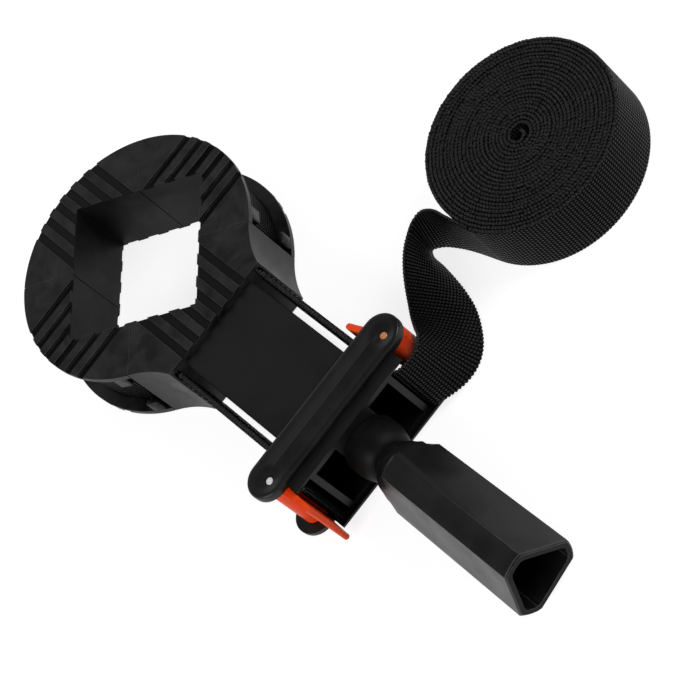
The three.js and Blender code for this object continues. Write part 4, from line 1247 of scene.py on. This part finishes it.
    def swell(self, path: StrapPath) -> np.ndarray:
        """How much thicker the strap stands where nothing presses on it.

        Args:
            path: A stretch of the loop.

        Returns:
            One factor for each ring of the stretch, 1 where the strap is pressed flat.
        """
        x, y = path.centres[:, 0], np.abs(path.centres[:, 1])
        open_low, open_high = self.open_run
        enter = np.clip((x - open_low) / self.swell_ramp, 0, 1)
        leave = np.clip((open_high - x) / self.swell_ramp, 0, 1)
        share = np.minimum(enter, leave) * (np.abs(y - self.run_y) < 1)
        return 1 + (self.open_thickness / self.thickness - 1) * eased(share)

    def ribbon(self, name: str, path: StrapPath, thickness: float,
               material: bpy.types.Material) -> bpy.types.Object:
        """Sweeps the cross-section along a stretch, with a UV map in millimetres.

        Args:
            name: The piece's name.
            path: The stretch.
            thickness: Thickness in millimetres.
            material: The weave.

        Returns:
            A closed mesh.
        """
        section = self.section(thickness)
        count, rings = len(section), len(path.centres)
        points = (path.centres[:, None] + path.widths[:, None] * section[None, :, :1]
                  + path.through[:, None] * section[None, :, 1:]
                  * self.swell(path)[:, None, None]).reshape(-1, 3)
        faces = band_faces(rings, count)
        faces.append(tuple(reversed(range(count))))
        faces.append(tuple((rings - 1) * count + side for side in range(count)))
        piece = mesh_object(name, points, faces, material)
        across = np.tile(section[:, 0] + self.width / 2, rings)
        along = np.repeat(path.reach + path.start, count)
        corners = np.empty(len(piece.data.loops), np.int32)
        piece.data.loops.foreach_get("vertex_index", corners)
        layer = piece.data.uv_layers.new(name="strap")
        layer.data.foreach_set(
            "uv", np.stack([along[corners], across[corners]], 1).astype(np.float32).ravel())
        return piece

    def declare(self, piece: bpy.types.Object, length: float,
                replaced: list[str]) -> None:
        """Hides the nodes that a stretch stands for and logs how long it is.

        Args:
            piece: The stretch.
            length: Its length in millimetres.
            replaced: Nodes that it stands for.
        """
        if replaced:
            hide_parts(*replaced)
        LOG.info("%s is %.0f mm of strap", piece.name, length)

    def build_loop(self, weave: bpy.types.Material, yarn: bpy.types.Material) -> None:
        """Builds the loop in six stretches.

        Args:
            weave: The webbing's finish.
            yarn: The selvedge's finish.
        """
        whole = self.loop_path()
        bend_x = self.ring_x + self.bend_centre
        run = self.exit_x - bend_x
        bend = self.bend_radius * math.pi / 4
        quarter = self.ring_radius * math.pi / 2
        ring_start = run + bend
        ring_end = ring_start + 3 * quarter
        cuts = [0.0, run, ring_start + quarter / 2, ring_start + 1.5 * quarter,
                ring_end - quarter / 2, ring_end + bend, whole.length]

        def place(x: float, y: float) -> tuple[float, float, float]:
            """A point at the screw's height, in metres."""
            return x * MM, y * MM, self.axis_height * MM

        def seam(degrees: float) -> tuple[float, float, float]:
            """A point of the strap on the ring, in metres."""
            return place(self.ring_x + self.ring_radius * math.cos(math.radians(degrees)),
                         self.ring_radius * math.sin(math.radians(degrees)))

        head_left, far_left, far_right, head_right = self.seam_degrees
        reach = self.seam_reach
        stretches = (
            ("webbing_run_left", ("housing", "head"),
             (place(self.hold_x, self.run_y), place(bend_x, self.run_y)),
             ["strap_run_left"], ["cam_left", "head_jaw"]),
            ("webbing_bend_left", ("head", "left_jaw"),
             (seam(head_left), seam(head_left + reach)),
             ["strap_head_left"], ["head_jaw", "left_jaw"]),
            ("webbing_far_left", ("left_jaw", "head"),
             (seam(far_left - reach), seam(far_left)),
             ["strap_arc_left"], ["left_jaw", "far_jaw"]),
            ("webbing_far_right", ("head", "right_jaw"),
             (seam(far_right), seam(far_right + reach)),
             ["strap_arc_far", "strap_arc_right"], ["far_jaw", "right_jaw"]),
            ("webbing_bend_right", ("right_jaw", "head"),
             (seam(head_right - reach), seam(head_right)),
             ["strap_head_right"], ["right_jaw", "head_jaw"]),
            ("webbing_run_right", ("head", "housing"),
             (place(bend_x, -self.run_y), place(self.hold_x, -self.run_y)),
             ["strap_run_right"], ["cam_right", "head_jaw"]))
        for (name, bodies, span, replaced, carried), low, high in zip(
                stretches, cuts[:-1], cuts[1:]):
            path = whole.cut(low, high, self.ring_step)
            piece = self.ribbon(name, path, self.thickness, weave)
            loops = self.selvedge.build(
                name + "_selvedge", path, self.width / 2,
                self.thickness * self.loop_share * float(self.swell(path).max()), yarn)
            for part in (piece, loops):
                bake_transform(part)
            self.declare(piece, path.length, replaced)

    def build_spare(self, weave: bpy.types.Material, yarn: bpy.types.Material) -> None:
        """Builds the loose stretch and the roll, which lie on the bench beside the housing.

        Args:
            weave: The webbing's finish.
            yarn: The selvedge's finish.
        """
        for name, path, thickness, edge, share, held, node in (
                ("webbing_free", self.free_path(), self.spare_thickness, self.selvedge,
                 self.spare_loop_share, "laid", "strap_free"),
                ("webbing_roll", self.roll_path(), self.wound_thickness, self.roll_selvedge,
                 self.wound_loop_share, "folded", "strap_roll")):
            piece = self.ribbon(name, path, thickness, weave)
            loops = edge.build(name + "_selvedge", path, self.width / 2, thickness * share, yarn)
            for part in (piece, loops):
                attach(part, "housing")
            self.declare(piece, path.length, [node])

    def build(self) -> None:
        """Builds all of the strap."""
        weave, yarn = self.weave.build(), self.yarn.build()
        self.build_loop(weave, yarn)
        self.build_spare(weave, yarn)


@dataclass
class Studio:
    """The camera at the photograph's view, a white bench and soft light."""

    sensor_mm: float = 36.0
    focal_mm: float = 164.08
    sight_m: float = 20.0
    camera_at: tuple[float, float, float] = (682.572, 9.522, 813.587)
    camera_right: tuple[float, float, float] = (0.594459, 0.616625, -0.516131)
    camera_down: tuple[float, float, float] = (0.457444, -0.787196, -0.413603)
    floor_half_m: float = 3.0
    floor_colour: str = "#b4b4b4"
    glow_colour: str = "#ffffff"
    floor_glow: float = 0.82
    mirrored_glow: float = 0.6
    world_colour: str = "#ffffff"
    horizon: float = 0.34
    zenith: float = 0.14
    zenith_from: float = 0.65
    # Each soft box's name, its place and side in metres, and its power in watts.
    lamps: tuple[tuple[str, tuple[float, float, float], float, float], ...] = (
        ("left", (0.55, 1.25, 1.0), 0.9, 13.0), ("right", (0.55, -1.25, 1.0), 0.9, 13.0),
        ("behind", (-1.3, 0.1, 0.6), 0.9, 1.3))

    def build(self) -> None:
        """Builds the camera, the bench, the world and the lamps."""
        self.build_camera()
        self.build_floor()
        self.build_world()
        self.build_lamps()

    def build_camera(self) -> None:
        """Sets the scene's camera where the photograph was taken from."""
        data = bpy.data.cameras.new("camera")
        data.lens = self.focal_mm
        data.sensor_width = self.sensor_mm
        data.clip_end = self.sight_m
        right, up = Vector(self.camera_right), -Vector(self.camera_down)
        place = Matrix((right, up, right.cross(up))).transposed().to_4x4()
        place.translation = Vector(self.camera_at) * MM
        camera = link_object("camera", data)
        camera.matrix_world = place
        bpy.context.scene.camera = camera

    def build_floor(self) -> None:
        """Lays a white bench that shows white to the eye and still takes the shadow."""
        half = self.floor_half_m / MM
        material, tree = new_tree("white_bench")
        diffuse = add_node(tree, "ShaderNodeBsdfDiffuse", inputs={
            "Color": linear(self.floor_colour)})
        path = add_node(tree, "ShaderNodeLightPath")
        mirrored = add_node(tree, "ShaderNodeMath", {"operation": "MAXIMUM"}, {
            0: path.outputs["Is Glossy Ray"], 1: path.outputs["Is Transmission Ray"]})
        glow = add_node(tree, "ShaderNodeMath", {"operation": "MULTIPLY"}, {
            0: path.outputs["Is Camera Ray"], 1: self.floor_glow})
        glow = add_node(tree, "ShaderNodeMath", {"operation": "MULTIPLY_ADD"}, {
            0: mirrored.outputs[0], 1: self.mirrored_glow, 2: glow.outputs[0]})
        lit = add_node(tree, "ShaderNodeEmission", inputs={
            "Color": linear(self.glow_colour), "Strength": glow.outputs[0]})
        whole = add_node(tree, "ShaderNodeAddShader", inputs={
            0: diffuse.outputs[0], 1: lit.outputs[0]})
        add_node(tree, "ShaderNodeOutputMaterial", inputs={"Surface": whole.outputs[0]})
        floor = mesh_object("bench", np.array(
            [(-half, -half, 0), (half, -half, 0), (half, half, 0), (-half, half, 0)]),
            [(0, 1, 2, 3)], material)

    def build_world(self) -> None:
        """Fills the room with even light that a camera sees as plain white."""
        world = bpy.data.worlds.new("studio")
        bpy.context.scene.world = world
        world.use_nodes = True
        tree = world.node_tree
        tree.nodes.clear()
        way = add_node(tree, "ShaderNodeTexCoord").outputs["Generated"]
        height = add_node(tree, "ShaderNodeSeparateXYZ", inputs={0: way}).outputs[2]
        level = add_node(tree, "ShaderNodeMapRange", inputs={
            "Value": height, 1: 0.0, 2: self.zenith_from, 3: self.horizon, 4: self.zenith})
        seen = add_node(tree, "ShaderNodeLightPath").outputs["Is Camera Ray"]
        strength = add_node(tree, "ShaderNodeMath", {"operation": "MAXIMUM"},
                            {0: level.outputs[0], 1: seen})
        light = add_node(tree, "ShaderNodeBackground", inputs={
            "Color": linear(self.world_colour), "Strength": strength.outputs[0]})
        add_node(tree, "ShaderNodeOutputWorld", inputs={"Surface": light.outputs[0]})

    def build_lamps(self) -> None:
        """Hangs soft boxes round the bench."""
        for name, at, size, power in self.lamps:
            data = bpy.data.lights.new(name, "AREA")
            data.shape = "SQUARE"
            data.size = size
            data.energy = power
            lamp = link_object(name, data)
            lamp.location = at
            lamp.rotation_euler = (-Vector(at)).to_track_quat("-Z", "Y").to_euler()


def main() -> None:
    """Builds the studio and dresses each sub-assembly in order."""
    logging.basicConfig(level=logging.INFO, format="%(message)s")
    bpy.context.scene.view_settings.view_transform = "Standard"
    Studio().build()
    mouldings = Mouldings()
    mouldings.dress()
    CamPins().build()
    RimTabs().build(bpy.data.materials[mouldings.jaw.name])
    CoverPlates().build()
    Webbing().build()


if __name__ == "__main__":
    main()
